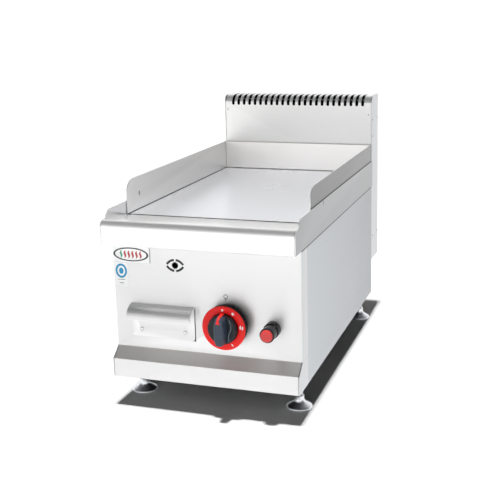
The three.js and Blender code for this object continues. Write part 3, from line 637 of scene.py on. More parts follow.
# One brushed stainless steel in lit and shaded copies: each shade is painted light or shade for how the
# light falls on that region or face direction.
steel_panel = steel("panel", AXIS_X, 0.81, 0.42, diffuse=0.2)
steel_plinth = steel("plinth", AXIS_X, 0.79, 0.42)
steel_slope_lit = steel("slope", AXIS_X, 1.1, 0.45, cool=-0.03, streak=0.2, diffuse=0.45)
steel_apron = steel("apron", AXIS_X, 1.0, 0.3, diffuse=0.2)
steel_hood = steel("hood", AXIS_X, 0.84, 0.38, cool=-0.008, streak=0.4)
steel_curl_lit = steel("curl", AXIS_X, 0.98, 0.3, cool=0.01, diffuse=0.15)
steel_back = steel("back", AXIS_X, 1.2, 0.42, cool=-0.025, streak=0.4, diffuse=0.1)
steel_side_shaded = steel("side", AXIS_Y, 0.47, 0.36, cool=0.05, fade=0.24)
steel_return_shaded = steel("return", AXIS_Z, 0.6, 0.36, cool=0.02)
steel_rail_shaded = steel("rail", AXIS_Y, 0.32, 0.36, cool=0.015, fade=0.76)
steel_guard_shaded = steel("guard", AXIS_Y, 0.17, 0.36)
steel_guard_inner_lit = steel("guard_inner", AXIS_Y, 1.15, 0.4, cool=-0.015, diffuse=0.1, fade=0.5)
steel_rail_inner_lit = steel("rail_inner", AXIS_Y, 1.0, 0.24, diffuse=0.3)
steel_plate = cooking_steel()
# Near-black steel: soot, darkened further as painted shade.
soot_and_shade = sooted_and_shaded_steel()
zinc = galvanised()
foot_chrome = plated("foot_chrome", (0.84, 0.87, 0.89), 0.3)
screw_steel = plated("screw_steel", (0.7, 0.7, 0.7), 0.22)
brass = plated("machined_brass", (0.78, 0.58, 0.27), 0.25)
black_plastic = moulded("black_plastic", (0.022, 0.038, 0.062), 0.36, 1400, 0.2)
# A darker copy of the grip plastic for the hub is painted shade, and the paler rib plastic is a painted
# highlight.
hub_plastic_shaded = moulded("hub_plastic_shaded", (0.004, 0.006, 0.009), 0.42, 1400, 0.2, shine=0.35)
rib_painted_highlight = moulded("grip_rib_painted_highlight", (0.1, 0.125, 0.15), 0.3, 900, 0.1)
black_matt = moulded("black_matt_plastic", (0.006, 0.006, 0.007), 0.6, 1200, 0.15, shine=0.08)
black_gloss = moulded("black_gloss_plastic", (0.006, 0.007, 0.009), 0.22, 900, 0.08, shine=0.3)
red_plastic = moulded("red_plastic", (0.84, 0.014, 0.012), 0.36, 900, 0.06, shine=0.26)
cap_plastic = moulded("cap_plastic", (0.6, 0.04, 0.038), 0.3, 700, 0.12, shine=0.5)
ink_black = printed("ink_black", (0.01, 0.01, 0.011))
ink_white = printed("ink_white", (0.88, 0.88, 0.87))
ink_red = printed("ink_red", (0.4, 0.025, 0.025))
ink_blue = printed("ink_blue", (0.008, 0.27, 0.5))
ink_grey = printed("ink_grey", (0.16, 0.17, 0.18))
# A grey film for the badge backing's edge: painted shade.
painted_shade_grey = printed("painted_shade_grey", (0.4, 0.4, 0.41))
ink_green = printed("ink_green", (0.03, 0.3, 0.17))
enamel = moulded("badge_enamel", (0.88, 0.88, 0.87), 0.22, 500, 0.04, coat=0.4)
label_film = moulded("label_film", (0.86, 0.88, 0.9), 0.4, 700, 0.05)
cast_iron = cast("cast_iron", (0.03, 0.03, 0.032), 0.6, 0.7, 500, 0.6)
ceramic = cast("glazed_ceramic", (0.8, 0.77, 0.7), 0.0, 0.25, 300, 0.05)
# Near-black strips that are painted shade in the gaps
painted_shade_strip = cast("painted_shade_strip", (0.012, 0.012, 0.013), 0.0, 0.7, 900, 0.2)
silicone = cast("silicone_sleeve", (0.4, 0.05, 0.04), 0.0, 0.6, 1200, 0.2)


# ---- casing ----

CUT_REACH = 5 * MM
DRAWER_GAP = 0.8 * MM
PAN_SIDE_ROOM = 2.5 * MM
PAN_FOOT_ROOM = 1 * MM
PAN_TOP_ROOM = 3 * MM
KNOB_BORE = 7 * MM
IGNITER_BORE = 11 * MM
PORT_RADIUS = 4.7 * MM
PORT_CENTRE = (-51.4 * MM, PANEL_LOW.z + 146.7 * MM)
PLINTH_FOLD = 32 * MM
PLINTH_RETURN = 18 * MM
PLINTH_SEAM = 0.4 * MM
SLOPE_TILT = (0.3, 0.95)
SIDE_EDGE = 0.4 * MM
EXHAUST_WINDOW = (-0.12, 0.12, 0.214, 0.284)
INLET_BORE = 12 * MM


def add_front_panel():
    low, high = PANEL_LOW, PANEL_HIGH
    pan_low, pan_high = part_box("drawer_pan")
    face_low, face_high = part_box("drawer_front")
    path = rounded([(low.x, high.y), (low.x, low.y), (high.x, low.y), (high.x, high.y)],
                   (0, BEND, BEND, 0), closed=False)
    front, back = low.y - CUT_REACH, low.y + CUT_REACH
    right = face_high.x + DRAWER_GAP
    opening = rectangle(pan_low.x - PAN_SIDE_ROOM, right,
                        pan_low.z - PAN_FOOT_ROOM, pan_high.z + PAN_TOP_ROOM)
    opening_foot = rectangle(pan_high.x, right, face_low.z - DRAWER_GAP, pan_low.z)
    sheet = combined(
        folded(path, SHEET, "z", low.z, high.z),
        prism(opening, "y", front, back),
        prism(opening_foot, "y", front, back),
        bore(front_middle("knob_skirt"), KNOB_BORE, front, back),
        bore(front_middle("igniter_body"), IGNITER_BORE, front, back),
        bore(PORT_CENTRE, PORT_RADIUS, front, back),
    )
    # The bent side returns take a darker copy of the steel: painted shade.
    piece("front_panel_sheet", sheet, "root", steel_panel, ["front_panel"],
          faces=[(steel_return_shaded, lambda centre, normal: abs(normal.x) > MOSTLY)])


def add_plinth():
    low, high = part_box("plinth")
    back = PANEL_LOW.y + SHEET + GAP
    top = PANEL_LOW.z - GAP
    fold = low.z + PLINTH_FOLD
    rear = low.y + PLINTH_RETURN
    path = rounded([(back, high.z), (back, top), (low.y, fold), (low.y, low.z), (rear, low.z)],
                   (0, BEND, BEND, BEND, 0), closed=False)
    inset = SHEET + PLINTH_SEAM
    band = folded(path, SHEET, "x", low.x + inset, high.x - inset)
    # The sloping band takes a lighter copy of the steel: painted light.
    piece("plinth_band", band, "root", steel_plinth, ["plinth"],
          faces=[(steel_slope_lit, lambda centre, normal: SLOPE_TILT[0] < normal.z < SLOPE_TILT[1])])
    cheek = rounded([(low.y, low.z), (low.y, fold), (back, top), (high.y, top), (high.y, low.z)],
                    (BEND, BEND, 0, 0, 0))
    for label, side in SIDES:
        outer = side * high.x
        plate = prism(cheek, "x", outer, outer - side * SHEET)
        # The cheeks take the darker return copy of the steel: painted shade.
        piece(f"plinth_cheek_{label}", plate, "root", steel_return_shaded, ["plinth"])


def add_side_panels():
    for label, side in SIDES:
        name = f"side_panel_{label}"
        # The sides take a darker copy of the steel: painted shade, deeper towards the rear.
        piece(f"side_sheet_{label}", slab(*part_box(name)), "root", steel_side_shaded, [name],
              edge=SIDE_EDGE)


def add_rear_panel():
    low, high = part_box("rear_panel")
    front, back = low.y - GAP, high.y + GAP
    sheet = combined(
        slab(low, high),
        prism(rectangle(*EXHAUST_WINDOW), "y", front, back),
        bore(front_middle("gas_inlet"), INLET_BORE, front, back),
    )
    piece("rear_sheet", sheet, "root", zinc, ["rear_panel"])


# ---- top frame ----

NOSE_RADIUS = 12 * MM
NOSE_FLAT = 8 * MM
APRON_FOOT_BEND = 3 * MM
APRON_BACK_GAP = 0.6 * MM
GROOVE_WIDTH = 2.5 * MM
GROOVE_CREST = 1 * MM
CREST_BEND = 1.6 * MM
LEDGE_BEND = 2 * MM
DRAIN_RADIUS = 4.5 * MM
DRAIN_OFFSET = 7 * MM
DRAIN_X = -155.5 * MM
RAIL_STEP = ((0, 1.5), (1, 5))
RAIL_CURVE_START = 18 * MM
RAIL_CURVE = (12 * MM, 10 * MM)
RAIL_CURVE_ANGLES = (140, 90)
RAIL_SLIT = 171 * MM
SLIT_WIDTH = 3 * MM
SLIT_DEPTH = 8 * MM
SLIT_OVERCUT = 1 * MM
SLIT_SHADE_RISE = 2 * MM
# Dark strips of painted shade in the gaps round the rails, the guards and the plate
SHADE_STRIP_LIFT = 0.03 * MM
SHADE_STRIP_REACH = 0.2 * MM
UNDER_RAIL_INSET = 3 * MM
UNDER_RAIL_HALF = 3 * MM
BEHIND_RAIL_DROP = 6 * MM
BEHIND_RAIL_RISE = 1.3 * MM
FLUE_SHADE_DROP = 2 * MM
PLATE_SHADE_SPAN = (1.5 * MM, 0.2 * MM)
PLATE_SHADE_FOOT = 1 * MM
PLATE_SHADE_RISE = 1.5 * MM
PLATE_CORNER = 2 * MM
PLATE_EDGE = 0.8 * MM
GUARD_CORNER = 27 * MM
GUARD_SLIT = 48 * MM
GUARD_SHEET = 1.6 * MM
GUARD_EDGE = 0.35 * MM


def nose_arc(nose_y, top):
    return arc((nose_y + NOSE_RADIUS, top - NOSE_RADIUS), (NOSE_RADIUS, NOSE_RADIUS), 180, 90, 16)


def add_front_apron():
    low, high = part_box("front_apron")
    flat_end = (low.y + NOSE_RADIUS + NOSE_FLAT, high.z)
    rear = PLATE_LOW.y - GROOVE_WIDTH
    crest = (rear, PLATE_HIGH.z + GROOVE_CREST)
    ledge = PLATE_LOW.z - GAP
    bend = APRON_FOOT_BEND
    path = [
        (PANEL_LOW.y - APRON_BACK_GAP, low.z),
        *arc((low.y + bend, low.z + bend), (bend, bend), 270, 180, 5),
        *nose_arc(low.y, high.z),
        flat_end,
        *rounded([flat_end, crest, (rear, ledge)], (0, CREST_BEND, 0), closed=False)[1:-1],
        *rounded([crest, (rear, ledge), (high.y, ledge)], (0, LEDGE_BEND, 0), closed=False)[1:],
    ]
    sheet = combined(
        folded(path, -SHEET, "x", low.x, high.x),
        bore((DRAIN_X, rear - DRAIN_OFFSET), DRAIN_RADIUS, low.z + SHEET + GAP, high.z + SHEET, "z"),
    )
    piece("apron_sheet", sheet, "root", steel_apron, ["front_apron"])


def add_side_rails():
    low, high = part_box("side_rail_left")
    _, apron_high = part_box("front_apron")
    rise = low.y + NOSE_RADIUS + NOSE_FLAT
    outline = [
        (low.y, low.z),
        *nose_arc(low.y, apron_high.z),
        *offset(RAIL_STEP, rise, apron_high.z),
        *arc((rise + RAIL_CURVE_START, high.z - RAIL_CURVE[1]), RAIL_CURVE, *RAIL_CURVE_ANGLES, 6),
        (high.y, high.z),
        (high.y, low.z),
    ]
    slit = strip(low.y + RAIL_SLIT, SLIT_WIDTH, high.z - SLIT_DEPTH, high.z + GAP)
    for label, side in SIDES:
        name = f"side_rail_{label}"
        near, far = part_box(name)
        rail = combined(prism(outline, "x", near.x, far.x), prism(slit, "x", near.x - GAP, far.x + GAP))
        # Inner faces take a lit copy of the steel and outward faces a shaded copy: painted light and shade.
        piece(f"rail_{label}", rail, "root", steel_rail_inner_lit, [name],
              faces=[(steel_rail_shaded, facing_out(side))])


def add_shade_strips():
    """Dark strips of painted shade in the gaps: under each rail, between rail and guard, at the flue, and in
    front of the plate.
    """
    for label, side in SIDES:
        rail_low, rail_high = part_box(f"side_rail_{label}")
        case_low, case_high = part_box(f"side_panel_{label}")
        guard_low, guard_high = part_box(f"splash_guard_{label}")
        flue_low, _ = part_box(f"flue_side_{label}")
        face = case_high.x if side > 0 else -case_low.x
        outside = sorted((side * (face + SHADE_STRIP_LIFT), side * (face + SHADE_STRIP_REACH)))
        inside = sorted((side * (face - GAP), side * (face - 4 * GAP)))
        under = rectangle(PANEL_LOW.y + UNDER_RAIL_INSET, case_high.y,
                          rail_low.z - UNDER_RAIL_HALF, rail_low.z + UNDER_RAIL_HALF)
        behind = rectangle(guard_low.y, rail_high.y,
                           rail_high.z - BEHIND_RAIL_DROP, rail_high.z + BEHIND_RAIL_RISE)
        upright = rectangle(guard_high.y + GAP, flue_low.y - GAP,
                            rail_high.z, guard_high.z - FLUE_SHADE_DROP)
        dark_strip(f"shade_under_rail_{label}", under, *outside)
        dark_strip(f"shade_behind_rail_{label}", behind, *outside)
        dark_strip(f"shade_flue_{label}", upright, *inside)
    plate_shade = rectangle(PLATE_LOW.y - PLATE_SHADE_SPAN[0], PLATE_LOW.y - PLATE_SHADE_SPAN[1],
                     PLATE_LOW.z + PLATE_SHADE_FOOT, PLATE_HIGH.z + PLATE_SHADE_RISE)
    dark_strip("shade_plate_front", plate_shade, PLATE_LOW.x, PLATE_HIGH.x)


def add_cooking_plate():
    outline = rounded(rectangle(PLATE_LOW.x, PLATE_HIGH.x, PLATE_LOW.y, PLATE_HIGH.y), (PLATE_CORNER,) * 4)
    plate = prism(outline, "z", PLATE_LOW.z, PLATE_HIGH.z)
    piece("cooking_plate", plate, "root", steel_plate, ["griddle_plate"], edge=PLATE_EDGE)


def add_splash_guards():
    for label, side in SIDES:
        name = f"splash_guard_{label}"
        low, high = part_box(name)
        _, rail_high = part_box(f"side_rail_{label}")
        outline = round_fronted(low, high, GUARD_CORNER, 18)
        centre, foot = low.y + GUARD_SLIT, rail_high.z
        slit = strip(centre, SLIT_WIDTH, foot, foot + SLIT_DEPTH + SLIT_OVERCUT)
        guard = combined(prism(outline, "x", low.x, high.x), prism(slit, "x", low.x - GAP, high.x + GAP))
        # Inner faces take a lit copy of the steel and outward faces a shaded copy: painted light and shade.
        piece(f"guard_{label}", guard, "splash_guard", steel_guard_inner_lit, [name],
              edge=GUARD_EDGE, faces=[(steel_guard_shaded, facing_out(side))])
        # A dark strip in each slit: painted shade.
        slit_shade = strip(centre, SLIT_WIDTH, foot + SLIT_SHADE_RISE, foot + SLIT_DEPTH)
        dark_strip(f"guard_slit_shade_{label}", slit_shade, low.x + GAP, high.x - GAP, "splash_guard")
    low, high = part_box("splash_guard_rear")
    path = rounded([(low.y, low.z), (low.y, high.z), (high.y, high.z)], (0, BEND, 0), closed=False)
    sheet = folded(path, -GUARD_SHEET, "x", low.x, high.x)
    piece("guard_rear", sheet, "splash_guard", steel_back, ["splash_guard_rear"])


# ---- flue ----

LOUVRE_COUNT = 24
LOUVRE_PITCH = 12.5 * MM
LOUVRE_WIDTH = 6.2 * MM
LOUVRE_DROP = 21 * MM
LOUVRE_DEPTH = 41.7 * MM
LOUVRE_OVERLAP = 3 * MM
LOUVRE_CLEAR = 2 * MM
LOUVRE_REACH = 26 * MM
LOUVRE_FALL = 14 * MM
FLUE_SIDE_RADIUS = 16 * MM
CAP_RADIUS = 22 * MM
CAP_START = 18.5
CURL_RISE = 0.02
HOOD_CREASE = 0.4 * MM
HOOD_RETURN = 14 * MM
HOOD_EDGE = 0.18 * MM
RIM = 4 * MM
RETURN_RIM = 10 * MM


def hood_face(low, high, inset):
    """One face of the hood sheet, from its foot over the curl to its rear return."""
    top = high.z - inset
    front = low.y + inset
    rear = high.y - inset
    radius = CAP_RADIUS - inset
    centre = (low.y + CAP_RADIUS * math.cos(math.radians(CAP_START)), high.z - CAP_RADIUS)
    curl = arc(centre, (radius, radius), 180 - CAP_START, 90, 20)
    fall = rounded([curl[-1], (rear, top), (rear, high.z - HOOD_RETURN)],
                   (0, BEND - inset, 0), closed=False)
    return [(front, low.z), (front, curl[0][1] - HOOD_CREASE), *curl, *fall[1:]]


def louvre_cutters(low, high):
    """Rounded slots through the front of the hood and over its top, as two sets of tools."""
    half = LOUVRE_WIDTH / 2
    front = low.y - LOUVRE_CLEAR
    head = high.z - LOUVRE_OVERLAP
    foot = high.z - LOUVRE_DROP + half
    rear = low.y + LOUVRE_DEPTH - half
    upright = arc((0, foot), (half, half), 180, 360, 10) + [(half, head), (-half, head)]
    flat = [(-half, front), (half, front)] + arc((0, rear), (half, half), 0, 180, 10)
    fronts, tops = [], []
    for i in range(LOUVRE_COUNT):
        x = (i - (LOUVRE_COUNT - 1) / 2) * LOUVRE_PITCH
        fronts.append(prism(shifted(upright, x, 0), "y", front, low.y + LOUVRE_REACH))
        tops.append(prism(shifted(flat, x, 0), "z", high.z - LOUVRE_FALL, high.z + LOUVRE_CLEAR))
    return merged(*fronts), merged(*tops)


def inside_hood(low, high):
    """A test for the faces that look into the flue."""
    def test(centre, normal):
        under_top = normal.z < -PARTLY and centre.z > low.z + RIM
        behind_front = normal.y > PARTLY and centre.y < high.y - RIM
        before_return = normal.y < -PARTLY and centre.y > high.y - RETURN_RIM
        return under_top or behind_front or before_return
    return test


def add_flue():
    low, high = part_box("flue_hood")
    outline = hood_face(low, high, 0) + hood_face(low, high, SHEET)[::-1]
    hood = combined(prism(outline, "x", low.x, high.x), *louvre_cutters(low, high))
    # The curl takes a lighter copy of the steel, a painted highlight; the faces inside the flue take
    # near-black soot that is partly painted shade.
    piece("flue_hood_sheet", hood, "root", steel_hood, ["flue_hood"], edge=HOOD_EDGE,
          faces=[(steel_curl_lit, lambda centre, normal: normal.z > CURL_RISE), (soot_and_shade, inside_hood(low, high))])
    for label, side in SIDES:
        name = f"flue_side_{label}"
        near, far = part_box(name)
        cheek = prism(round_fronted(near, far, FLUE_SIDE_RADIUS, 14), "x", near.x, far.x)
        # The cheeks take the darker return copy of the steel, painted shade, with soot and painted shade
        # inside.
        piece(f"flue_cheek_{label}", cheek, "root", steel_return_shaded, [name],
              faces=[(soot_and_shade, facing_out(-side))])
    # The back takes the darker return copy of the steel, painted shade, with soot and painted shade on its
    # inner face.
    back = slab(*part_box("flue_rear_panel"))
    piece("flue_back", back, "root", steel_return_shaded, ["flue_rear_panel"],
          faces=[(soot_and_shade, lambda centre, normal: normal.y < -MOSTLY)])


# ---- fat drawer ----

LIP_DROP = 21.5 * MM
FACE_CORNER = 5 * MM
FACE_EDGE = 0.2 * MM
FACE_CUT = 2 * MM
LIP_CUT = 4 * MM
RIVET_HOLE = 2.2 * MM
RIVET_HEAD = 1.5 * MM
RIVET_SHANK = 1.9 * MM
RIVET_DOME = (15, 30, 45, 60, 75, 88)


def add_drawer():
    """The front plate with its curled finger lip, one bent sheet."""
    low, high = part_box("drawer_front")
    corner = FACE_CORNER
    lip_foot = high.z - LIP_DROP
    face_y = high.y - SHEET
    path = [(high.y, low.z), *arc((high.y, lip_foot), (high.y - low.y, LIP_DROP), 90, 180, 24)]
    tools = []
    face_cut = (low.z, face_y - FACE_CUT, high.y + MM)
    lip_cut = (lip_foot, low.y - MM, low.y + LIP_CUT)
    for x, side in ((low.x, -1), (high.x, 1)):
        for foot, front, back in (face_cut, lip_cut):
            tool = [(x + side * MM, foot - MM), (x - side * corner, foot - MM)]
            tool += arc((x - side * corner, foot + corner), (corner, corner), 270, 270 + side * 90, 8)
            tool += [(x + side * MM, foot + corner)]
            tools.append(prism(tool, "y", front, back))
    for label, _ in SIDES:
        hole = front_middle(f"drawer_rivet_{label}")
        tools.append(bore(hole, RIVET_HOLE, face_y - MM, high.y + MM, steps=20))
    face = combined(folded(path, SHEET, "x", low.x, high.x), *tools)
    piece("drawer_face", face, "drawer", steel_panel, ["drawer_front"], edge=FACE_EDGE)


def add_rivets():
    for label, _ in SIDES:
        name = f"drawer_rivet_{label}"
        low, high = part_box(name)
        radius = (high.x - low.x) / 2
        face = low.y + RIVET_HEAD
        head = dome(radius, -RIVET_HEAD, face, RIVET_DOME)
        shank = [(RIVET_SHANK, face), (RIVET_SHANK, high.y), (0, high.y)]
        bm = lathe(head + shank, "y", front_middle(name), 32)
        piece(f"rivet_{label}", bm, "drawer", screw_steel, [name], edge=0)


# ---- knob ----

DIAL_SIDES = 96
HUB_RADIUS = 24.8 * MM
SPINDLE_RADIUS = 4.3 * MM
SPINDLE_DEPTH = 6.5 * MM
BASE_FRONT = ((-1.6, 0), (-0.9, 0.4), (-0.6, 2), (-0.8, 7))
BASE_BACK = ((-1.6, -0.8), (-2.6, 0))
RING_INNER = ((0, 0.9), (2, 0.35))
RING_OUTER = ((-4, 0), (-1.4, 0.15), (-0.4, 0.7), (0, 1.4))
RING_BACK = ((0, -0.4), (-0.4, 0))
MARK_INSET = 6.4 * MM
OFF_RADIUS = 1.9 * MM
SPARK_RADIUS = 3.1 * MM
FULL_FLAME = (7 * MM, 3 * MM)
FULL_FLAME_SHIFT = (1.9 * MM, 0.6 * MM)
LOW_FLAME = (5 * MM, 2.6 * MM)
LOW_FLAME_TURN = -50
MARK_ANGLES = (-2, 33, 83, 152)
MARK_SINK = 0.3 * MM
MARK_RISE = 0.06 * MM
HUB_RISE = 9 * MM
HUB_DISH = 0.6 * MM
HUB_FRONT = ((-7, 0.4), (-3.4, 0), (-1.6, 0.5), (-0.5, 1.8), (0, 3.6))
HUB_LIP = 0.2 * MM
POINTER_RISE = 0.5 * MM
GRIP_EDGE = 0.3 * MM
BAR_STEPS = 48
BAR_POWERS = (0.55, 0.8)
# Depth, half width, half length and upward shift of the bar, in millimetres
BAR_SECTIONS = (
    (0.0, 5.6, 19.5, 0.6), (0.5, 6.9, 21.2, 0.4), (1.4, 7.7, 22.2, 0.2), (4.0, 8.2, 23.0, 0.0),
    (10.0, 8.9, 23.8, 0.0), (15.0, 9.8, 24.2, 0.0), (19.0, 10.8, 24.4, 0.0),
)
RIB_STEPS = 24
RIB_OFFSET = 13.8 * MM
RIB_SWAY = 2.4 * MM
RIB_PHASE = 0.08
RIB_LENGTH = 37 * MM
RIB_RADIUS = 0.8 * MM
RIB_SINK = 0.35 * MM
RIB_FALL_START = 4 * MM
RIB_FALL = 0.5
POINTER_HEAD = ((-3.7, 14.8), (3.7, 14.8), (2.4, 17.8), (1.6, 19.6), (-1.6, 19.6), (-2.4, 17.8))
POINTER_CORNER = 0.6 * MM
POINTER_SINK = 0.4 * MM
# Depth, height and half width of the pointer's neck, in millimetres
POINTER_NECK = (
    (-0.4, 19, 1.7), (0.3, 20.8, 1.7), (2.4, 22.4, 1.8), (7.4, 23.6, 2.0),
    (14.4, 24.6, 2.4), (20.4, 25.4, 3.2), (24.0, 27.6, 4.6),
)
NECK_THICKNESS = 0.7 * MM
FLAME_STEPS = 10
FLAME_BULGE = 0.8
FLAME_TAPER = {-1: 0.35, 1: 0.15}
FLAME_LEAN = 0.18
STAR_POINTS = 6
STAR_WAIST = 0.55


def add_knob():
    skirt_low, skirt_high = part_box("knob_skirt")
    back_low, back_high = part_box("knob_backing")
    hub = front_middle("knob_skirt")
    radius = (skirt_high.x - skirt_low.x) / 2
    face = skirt_low.y
    base = lathe([
        (0, back_low.y),
        *offset(BASE_FRONT, radius, back_low.y),
        *offset(BASE_BACK, radius, back_high.y),
        (0, back_high.y),
    ], "y", hub, DIAL_SIDES)
    spindle = bore(hub, SPINDLE_RADIUS, back_low.y - MM, back_high.y + MM)
    piece("knob_base", combined(base, spindle), "knob", black_matt, ["knob_backing"])
    inner = HUB_RADIUS + GAP
    profile = offset(RING_INNER, inner, face) + offset(RING_OUTER, radius, face)
    profile += offset(RING_BACK, radius, skirt_high.y)
    ring = lathe([(0, profile[0][1]), *profile, (0, skirt_high.y)], "y", hub, DIAL_SIDES)
    ring = combined(ring, bore(hub, inner, face - MM, skirt_high.y + MM, steps=DIAL_SIDES))
    piece("knob_ring", ring, "knob", red_plastic, ["knob_skirt"])
    add_knob_marks(hub, face, radius)
    add_grip(hub, face - HUB_RISE)


def flame(height, width):
    """A leaning drop with a pointed top."""
    def edge(side, i):
        t = i / FLAME_STEPS
        half = width / 2 * math.sin(math.pi * t) ** FLAME_BULGE * (1 - FLAME_TAPER[side] * t)
        return side * half + FLAME_LEAN * width * t ** 2, height * (t - 0.5)

    left = [edge(-1, i) for i in range(FLAME_STEPS + 1)]
    right = [edge(1, i) for i in range(1, FLAME_STEPS)]
    return left + right[::-1]


def star(radius):
    reaches = (radius, radius * STAR_WAIST) * STAR_POINTS
    return [polar((0, 0), reach, 180 * i / STAR_POINTS) for i, reach in enumerate(reaches)]


def add_knob_marks(hub, face, radius):
    """White marks on the red ring: off, spark, full flame and low flame."""
    drop = flame(*FULL_FLAME)
    aside, above = FULL_FLAME_SHIFT
    shapes = (
        [circle((0, 0), OFF_RADIUS, 24)],
        [star(SPARK_RADIUS)],
        [shifted(drop, -aside, above), shifted(drop, aside, -above)],
        [turned(flame(*LOW_FLAME), LOW_FLAME_TURN)],
    )
    solids = []
    for degrees, outlines in zip(MARK_ANGLES, shapes):
        spot = polar(hub, radius - MARK_INSET, degrees)
        for outline in outlines:
            solids.append(prism(shifted(outline, *spot), "y", face - MARK_RISE, face + MARK_SINK))
    piece("knob_marks", merged(*solids), "knob", ink_white, edge=0)


def bar_section(half_width, half_length, rise):
    """The outline of the grip bar, a rounded oblong."""
    points = []
    for i in range(BAR_STEPS):
        angle = 2 * math.pi * i / BAR_STEPS
        c, s = math.cos(angle), math.sin(angle)
        u = half_width * math.copysign(abs(c) ** BAR_POWERS[0], c)
        v = half_length * math.copysign(abs(s) ** BAR_POWERS[1], s)
        points.append((u, v + rise))
    return points


def add_grip(hub, hub_front):
    """Black grip: a shallow hub in a darker copy of the plastic, painted shade; a tall bar across it; a wavy
    rib beside the bar in a paler plastic, a painted highlight; and a red pointer.
    """
    low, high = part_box("knob_grip")
    front = low.y + POINTER_RISE
    disc = lathe([
        (0, hub_front + HUB_DISH),
        *offset(HUB_FRONT, HUB_RADIUS, hub_front),
        *offset(RING_BACK, HUB_RADIUS, high.y),
        (0, high.y),
    ], "y", hub, DIAL_SIDES)
    sections = []
    for depth, *shape in BAR_SECTIONS:
        outline = bar_section(*[value * MM for value in shape])
        sections.append((shifted(outline, *hub), front + depth * MM))
    grip = combined(disc, loft(sections, "y"), operation="UNION")
    grip = combined(grip, bore(hub, SPINDLE_RADIUS, high.y - SPINDLE_DEPTH, high.y + MM))
    # The hub's faces take a darker copy of the plastic: painted shade.
    piece("knob_handle", grip, "knob", black_plastic, ["knob_grip"], edge=GRIP_EDGE,
          faces=[(hub_plastic_shaded, lambda centre, normal: centre.y > hub_front - HUB_LIP)])

    # The rib's paler plastic is a painted highlight along the ridge.
    rib = []
    for i in range(RIB_STEPS + 1):
        t = i / RIB_STEPS
        u = RIB_OFFSET + RIB_SWAY * math.sin(2 * math.pi * (t - RIB_PHASE))
        v = (0.5 - t) * RIB_LENGTH
        fall = max(0.0, math.hypot(u, v) - HUB_RADIUS + RIB_FALL_START) * RIB_FALL
        rib.append((hub[0] + u, hub_front + RIB_SINK + fall, hub[1] + v))
    piece("knob_rib", tube(rib, RIB_RADIUS), "knob", rib_painted_highlight, edge=0)

    head = rounded(offset(POINTER_HEAD, *hub), (POINTER_CORNER,) * len(POINTER_HEAD))
    plate = prism(head, "y", low.y, front + POINTER_SINK)
    sections = []
    for depth, height, half in POINTER_NECK:
        outline = strip(0, 2 * half * MM, height * MM, height * MM + NECK_THICKNESS)
        sections.append((shifted(outline, *hub), front + depth * MM))
    pointer = merged(plate, loft(sections, "y"))
    piece("knob_pointer", pointer, "knob", red_plastic, edge=THIN_EDGE)


# ---- igniter ----

COLLAR_DEPTH = 13 * MM
COLLAR_SIDES = 72
COLLAR_RIM = ((11.2, 0), (11.8, 0.3), (12.2, 1.1), (12.2, 4), (11.6, 4.6))
COLLAR_FLANGE = ((11.6, -0.4), (12, 0), (12.6, 0), (13.1, 0.5), (13.3, 1.6))
FLANGE_RADIUS = 13.3 * MM
TAIL_RADIUS = 10.7 * MM
NOTCH_WIDTH = 4.8 * MM
NOTCH_SPAN = (11.8 * MM, 20 * MM)
NOTCH_DEPTH = 7 * MM
NOTCH_TURN = 38
BUTTON_BORE = 10.1 * MM
BUTTON_BORE_DEPTH = 20 * MM
STEM_BORE = 5.4 * MM
STEM_BORE_END = 14 * MM
BUTTON = ((4.5, 0.05), (7.4, 0.25), (8.8, 0.6), (9.5, 1.2), (9.8, 2.1), (9.8, 17), (5, 17))
BUTTON_STEM = 5 * MM


def add_igniter():
    low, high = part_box("igniter_body")
    button_low, button_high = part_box("igniter_button")
    hub = front_middle("igniter_body")
    rim = low.y
    collar = PANEL_LOW.y - COLLAR_DEPTH
    seat = PANEL_LOW.y - GAP
    outside = lathe([
        (0, rim),
        *offset(COLLAR_RIM, 0, rim),
        *offset(COLLAR_FLANGE, 0, collar),
        (FLANGE_RADIUS, seat), (TAIL_RADIUS, seat), (TAIL_RADIUS, high.y), (0, high.y),
    ], "y", hub, COLLAR_SIDES)
    notch = prism(strip(hub[0], NOTCH_WIDTH, hub[1] + NOTCH_SPAN[0], hub[1] + NOTCH_SPAN[1]),
                  "y", collar - MM, collar + NOTCH_DEPTH)
    turn = Matrix.Rotation(math.radians(NOTCH_TURN), 3, "Y")
    bmesh.ops.rotate(notch, verts=notch.verts, cent=(hub[0], 0, hub[1]), matrix=turn)
    body = combined(
        outside,
        bore(hub, BUTTON_BORE, rim - MM, rim + BUTTON_BORE_DEPTH, steps=COLLAR_SIDES),
        bore(hub, STEM_BORE, rim + BUTTON_BORE_DEPTH - MM, high.y - STEM_BORE_END),
        notch,
    )
    piece("igniter_collar", body, "root", black_gloss, ["igniter_body"])
    button = lathe([
        (0, button_low.y),
        *offset(BUTTON, 0, button_low.y),
        (BUTTON_STEM, button_high.y), (0, button_high.y),
    ], "y", hub)
    piece("igniter_cap", button, "igniter_button", cap_plastic, ["igniter_button"])


# ---- badge, label and printed marks ----

